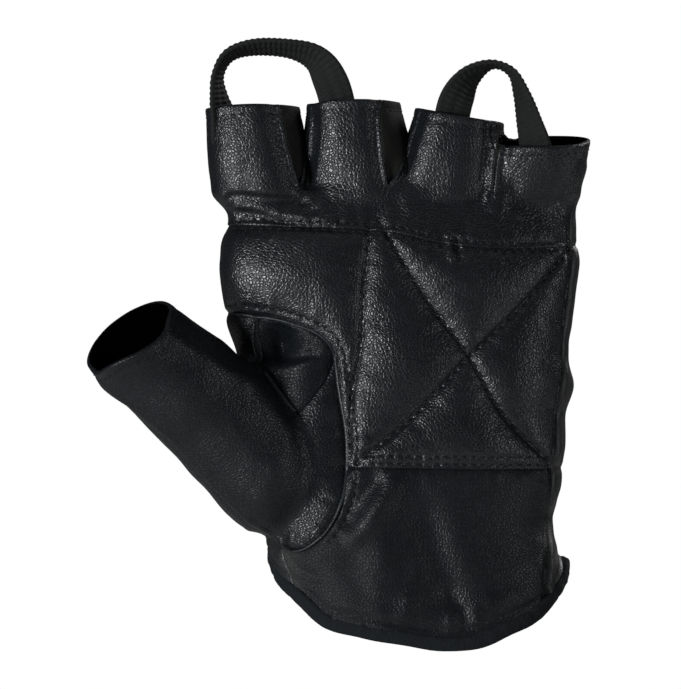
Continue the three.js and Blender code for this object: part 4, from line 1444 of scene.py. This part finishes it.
def rim_ring(i, below, count=90):
    """A ring round finger stall i, a distance below its rim."""
    shape = squarish(count, FINGER_POWER)
    s = row(STALLS, i)
    turn = -math.radians(s["turn"])
    u = shape[:, 0] * (s["rimRight"] - s["rimLeft"]) / 2
    v = -shape[:, 1] * s["half"]
    x = u * math.cos(turn) - v * math.sin(turn)
    y = u * math.sin(turn) + v * math.cos(turn)
    slope = (s["right"] - s["left"]) / (s["rimRight"] - s["rimLeft"])
    bow = s["bow"] * (1 - shape[:, 0] ** 2)
    z = (s["left"] + s["right"]) / 2 + slope * x + s["rise"] * y + bow - below
    return np.stack([x + (s["rimLeft"] + s["rimRight"]) / 2, y + s["rimY"], z], 1)


def thumb_ring(below, count=110):
    """A ring round the thumb, a distance below its rim."""
    shape = squarish(count, THUMB_POWER)
    u, v = shape[:, 0] * THUMB_HALF[0], shape[:, 1] * THUMB["half"][0]
    rise = thumb_rise(u, -shape[:, 1]) - below
    u = u - THUMB["shift"][0] * np.clip(shape[:, 1], 0, 1)
    ways = np.stack([THUMB_ACROSS[0], THUMB_BACK[0], THUMB_AXIS[0]])
    return THUMB_MIDDLE[0] + np.stack([u, v, rise], 1) @ ways


def closed_row(ring):
    """A stitch row round a closed ring near the skin."""
    path, facing = (np.concatenate([values, values[:1]]) for values in laid(ring))
    return stitch_row(path, facing, radius=0.2)


thread = cloth("thread", (0.010, 0.010, 0.012), 0.6, 5000.0, 0.2)


def stitches():
    for name, group in palm_rows().items():
        laid_rows = [stitch_row(*on_front(line), pitch) for line, pitch in group]
        piece(name, *merged(laid_rows), [thread])
    rings = [*(rim_ring(i, RIM_STITCH) for i in range(4)), thumb_ring(RIM_STITCH)]
    rims = [closed_row(ring) for ring in rings]
    piece("rim_stitches", *merged(rims), [thread])


LIP_WIDTHS = rows("share wide", [
    (0, 0.3), (0.03, 0.9), (0.25, 0.9), (0.33, 1.1), (0.46, 1.9), (0.6, 1.6), (0.74, 0.9), (0.96, 0.8),
    (1, 0.3),
])
ROLL_WIDTHS = rows("share wide", [(0, 0.6), (0.42, 0.8), (0.55, 1.7), (0.8, 1.7), (1, 0.6)])


def lip(_, share):
    """The section of the thumb's piping."""
    wide = np.interp(share, LIP_WIDTHS["share"], LIP_WIDTHS["wide"])
    return squarish(14, 2.4) * [wide / 2, min(0.75, wide)] + [0, 0.25]


def roll(_, share):
    """The section of the gusset's piping."""
    wide = np.interp(share, ROLL_WIDTHS["share"], ROLL_WIDTHS["wide"])
    return squarish(14, 3.2) * [wide / 2, wide / 2] + [0, 0.35 * wide]


def piping(name, node, mesh):
    piece(name, *mesh, [welt_leather], [node], "welt_leather")


def pipings():
    line = clipped(thumb_arc, -53.4, 0, 0, FAR)
    path, facing, _ = on_front(line[(line[:, 0] > -39.0) | (line[:, 1] > 20)])
    piping("thumb_piping_leather", "thumb_piping", sweep(path, facing, lip))
    path, facing, _ = on_front(gusset_left)
    facing = unit(0.25 * facing + [-0.3, -0.7, 0])
    piping("gusset_piping_leather", "gusset_piping", sweep(smoothed(path, 4), facing, roll))


def wrist_ring(count=200):
    """Points round the wrist on the hem's lower edge, and how the wall faces there."""
    angle = 2 * np.pi * np.arange(count) / count
    z = np.full(count, -10.0)
    for _ in range(12):
        left, right, front, back, power = hand_section(z)
        depth = np.where(np.sin(angle) > 0, front, back)
        across, deep = (signed_power(v, 2 / power) for v in (np.cos(angle), np.sin(angle)))
        x, y = (left + right) / 2 + (right - left) / 2 * across, -depth * deep
        z = hem_level(np.stack([x, y, z], 1))
    out_x = signed_power(across, power - 1) / ((right - left) / 2)
    out_y = -signed_power(deep, power - 1) / depth
    return np.stack([x, y, z], 1), unit(np.stack([out_x, out_y, np.zeros(count)], 1))


def binding():
    """The tape folded round the wrist's edge, puckered and sagging a little."""
    ring, facing = wrist_ring()
    length = lengths_along(ring)
    middle = ring + [0, 0, BINDING / 2] - facing * LEATHER / 2
    pucker = waves(length, (2.6, 3.7, 5.3), 21)
    droop = 0.25 * waves(length, (17, 29), 22)

    def tape(i, _):
        outline = squarish(24, 3.2) * [BINDING / 2, LEATHER / 2 + 0.9]
        wave = 0.4 * pucker[i] * (outline[:, 1] > 0) * bump(outline[:, 0] - BINDING / 2, BINDING)
        return outline + np.stack([np.full(24, droop[i]), wave], 1)

    band = sweep(middle, facing, tape, closed=True)
    piece("wrist_binding_cloth", *band, [binding_cloth], ["wrist_binding"], "binding_cloth")


LOOPS = {
    "pull_loop_index_middle": rows("x y z turn", [
        (-53.6, -5.6, 117, 14), (-54.6, -5.6, 123, 36), (-56.3, -5.2, 129.4, 62), (-56.7, -5.4, 135.8, 76),
        (-53.4, -6.0, 141.4, 74), (-46.0, -6.8, 143.6, 68), (-36.0, -7.4, 143.0, 62),
        (-29.0, -8.0, 140.1, 40),
        (-25.0, -8.4, 133.8, 12), (-22.9, -8.4, 126, 4), (-22.3, -8.2, 117, 2),
    ]),
    "pull_loop_ring_little": rows("x y z turn", [
        (8.4, -10.0, 114, 2), (8.8, -10.0, 123, 6), (10.4, -10.0, 129.4, 18), (14.0, -9.8, 135.2, 52),
        (20.2, -9.4, 138.6, 82), (25.6, -9.2, 136.5, 82), (28.3, -9.2, 130.6, 68), (30.5, -9.8, 122.4, 46),
        (32.4, -10.8, 114, 22), (33.0, -11.2, 105, 4),
    ]),
}
# The woven tape: its size, the cross ribs and their slant in chevrons, the lines along it, and the
# length of a face
TAPE = {
    "wide": 10.0, "thick": 1.6, "rib": 0.2, "pitch": 1.45, "slant": 2.2, "lines": 1.5, "line": 0.11,
    "step": 0.33,
}


def tape_outline(count=19):
    """The flat section of a woven tape, as offsets across and out."""
    across = np.linspace(-1, 1, count)
    out = (1 - np.abs(across) ** 8) ** 0.5
    top = np.stack([across[::-1], out[::-1]], 1)
    return np.concatenate([top, -top[1:-1]]) * [TAPE["wide"] / 2, TAPE["thick"] / 2]


def loop_path(table):
    """A loop's middle line, how its tape faces there, and the length along it."""
    keys = np.arange(len(table["x"]))
    fine = np.linspace(0, keys[-1], 2000)
    line = np.stack([between(keys, table[column], fine) for column in "xyz"], 1)
    length = lengths_along(line)
    at = np.linspace(0, length[-1], int(length[-1] / TAPE["step"]))
    path = read_at(line, length, at)
    turn = np.radians(np.interp(at, length, between(keys, table["turn"], fine)))[:, None]
    along = unit(np.gradient(path, axis=0))
    flat = unit(np.cross(along, [0, 1, 0]))
    across = flat * np.cos(turn) + np.cross(along, flat) * np.sin(turn)
    return path, np.cross(along, across), at


def loops():
    """The pull loops, woven in chevrons."""
    webbing = cloth("webbing", (0.0175, 0.0178, 0.0178), 0.75, 2400.0, 0.8)
    outline = tape_outline()
    place = outline[:, 0] / (TAPE["wide"] / 2)
    face = np.sign(outline[:, 1]) * (1 - np.abs(place) ** 8)
    chevron = np.abs((place * TAPE["lines"] + 0.5) % 1 - 0.5) * TAPE["slant"]
    lengthwise = TAPE["line"] * np.cos(place * TAPE["lines"] * 2 * np.pi)
    for node, table in LOOPS.items():
        path, facing, at = loop_path(table)

        def ribbon(i, _):
            rib = TAPE["rib"] * np.cos(2 * np.pi * at[i] / TAPE["pitch"] + chevron)
            return outline + np.stack([np.zeros(len(outline)), face * (rib - lengthwise)], 1)

        piece(node + "_webbing", *sweep(path, facing, ribbon), [webbing], [node], "woven_tape")


# The closure tab: its middle, half size and thickness, how far it stands off the back, how square
# its corners are, how far inside its edge it is stitched, how deep that is sunk, how far the middle
# stands out, and its points along and across
TAB = {
    "x": 1.5, "z": 15.0, "half": (28.5, 11.0), "thick": 2.0, "clear": 0.5, "power": 6.0, "stitch": 2.3,
    "sunk": 0.3, "dome": 0.25, "long": 96, "wide": 40,
}


def facing_of(points, triangles):
    """How a mesh faces at each of its points."""
    a, b, c = (points[triangles[:, k]] for k in range(3))
    total = np.zeros_like(points)
    for k in range(3):
        np.add.at(total, triangles[:, k], np.cross(b - a, c - a))
    return unit(total)


def on_back(x, z):
    """Places in the palm's plane laid on the back of the glove, and how the skin faces there."""
    hits = [skin_tree.ray_cast(Vector((a, FAR, b)), Vector((0, -1, 0))) for a, b in zip(x, z)]
    return np.array([h[0] for h in hits]), unit(np.array([h[1] for h in hits]))


def tab_stitches():
    ring = squarish(200, TAB["power"]) * (np.array(TAB["half"]) - TAB["stitch"]) + [TAB["x"], TAB["z"]]
    ring = smooth_line(np.concatenate([ring, ring[:1]]), 0.8)
    places, faces_out = on_back(*ring.T)
    faces_out = unit(smoothed(faces_out, 6))
    sewn = stitch_row(places + faces_out * (TAB["clear"] + TAB["thick"] - 0.25), faces_out)
    piece("tab_stitches", *sewn, [thread])


def closure_tab():
    """The wrist closure on the back: a stitched leather tab with rounded corners."""
    u, v = every_pair(np.linspace(-1, 1, TAB["long"]), np.linspace(-1, 1, TAB["wide"]))
    reach = np.maximum(np.abs(u), np.abs(v))
    rounded = (np.abs(u) ** TAB["power"] + np.abs(v) ** TAB["power"]) ** (1 / TAB["power"])
    share = reach / np.maximum(rounded, 1e-9)
    long, wide = TAB["half"]
    base, _ = on_back(TAB["x"] + long * u * share, TAB["z"] + wide * v * share)
    a, b, c, d = grid_corners(TAB["long"], TAB["wide"])
    faces = np.concatenate([np.stack([a, c, b], 1), np.stack([a, d, c], 1)])
    facing = facing_of(base, faces)
    edge = np.minimum((1 - np.abs(u)) * long, (1 - np.abs(v)) * wide)
    sewn = TAB["sunk"] * bump(edge - TAB["stitch"], 0.6)
    thick = TAB["thick"] - sewn + TAB["dome"] * ease(edge, 2.6, 6)
    outer = base + facing * (TAB["clear"] + thick)[:, None]
    shell, faces, kind = rounded_edges(outer, base + facing * TAB["clear"], facing, faces, 0.35)
    leathers = [back_leather, flesh_side_painted_shade]
    piece("closure_tab_leather", shell, faces, leathers, ["closure_tab"], "back_leather", kind)
    tab_stitches()


stitches()
pipings()
binding()
loops()
closure_tab()

# Stage
PIXEL = 0.28  # the photo's scale at the glove
PHOTO_HEIGHT = 689  # in pixels
CAMERA = {"x": -22.3, "y": -2200.0, "z": 60.3, "plane_y": -8.0, "frame": PHOTO_HEIGHT * PIXEL}
LIGHT_AIM = (-0.02, 0, 0.06)
# Softboxes by name: place, size, power and colour
LIGHTS = {
    "left_softbox": ((-1.1, -0.95, 0.1), (0.3, 0.4), 13.8, (0.95, 0.98, 1.0)),
    "right_softbox": ((1.0, -0.65, 0.15), (0.25, 0.8), 2.0, (0.95, 0.98, 1.0)),
    "top_softbox": ((0.1, -0.3, 1.1), (0.7, 0.4), 0.5, (1, 1, 1)),
    "back_softbox": ((0.9, 0.9, 0.9), (0.7, 0.7), 7.0, (1, 1, 1)),
}
SURROUND = 0.04  # strength of the white surround, which the camera sees at full strength


def softbox(name, place, size, power, colour):
    data = bpy.data.lights.new(name, "AREA")
    data.shape = "RECTANGLE"
    data.size, data.size_y = size
    data.energy = power
    data.color = colour
    light = linked(name, data)
    light.location = place
    light.visible_camera = False
    light.rotation_euler = (Vector(LIGHT_AIM) - Vector(place)).to_track_quat("-Z", "Y").to_euler()


def camera():
    data = bpy.data.cameras.new("camera")
    data.sensor_width = 36.0
    data.lens = data.sensor_width * (CAMERA["plane_y"] - CAMERA["y"]) / CAMERA["frame"]
    made = linked("camera", data)
    made.location = Vector((CAMERA["x"], CAMERA["y"], CAMERA["z"])) * MM
    made.rotation_euler = (math.pi / 2, 0, 0)
    bpy.context.scene.camera = made


def surround():
    world = bpy.data.worlds.new("world")
    world.use_nodes = True
    tree = world.node_tree
    background = tree.nodes["Background"]
    seen = add(tree, "LightPath").outputs["Is Camera Ray"]
    tree.links.new(ramp(tree, seen, 0.0, 1.0, SURROUND, 1.0), background.inputs["Strength"])
    background.inputs["Color"].default_value = (1, 1, 1, 1)
    bpy.context.scene.world = world


def paper_floor():
    bpy.ops.mesh.primitive_plane_add(size=3, location=(0, 0, -0.3))
    floor = bpy.context.object
    floor.name = "floor"
    paper = bpy.data.materials.new("floor_paper")
    paper.use_nodes = True
    paper.node_tree.nodes["Principled BSDF"].inputs["Base Color"].default_value = (0.8, 0.8, 0.8, 1)
    floor.data.materials.append(paper)


bpy.context.scene.view_settings.view_transform = "Standard"
camera()
surround()
for name, light in LIGHTS.items():
    softbox(name, *light)
paper_floor()
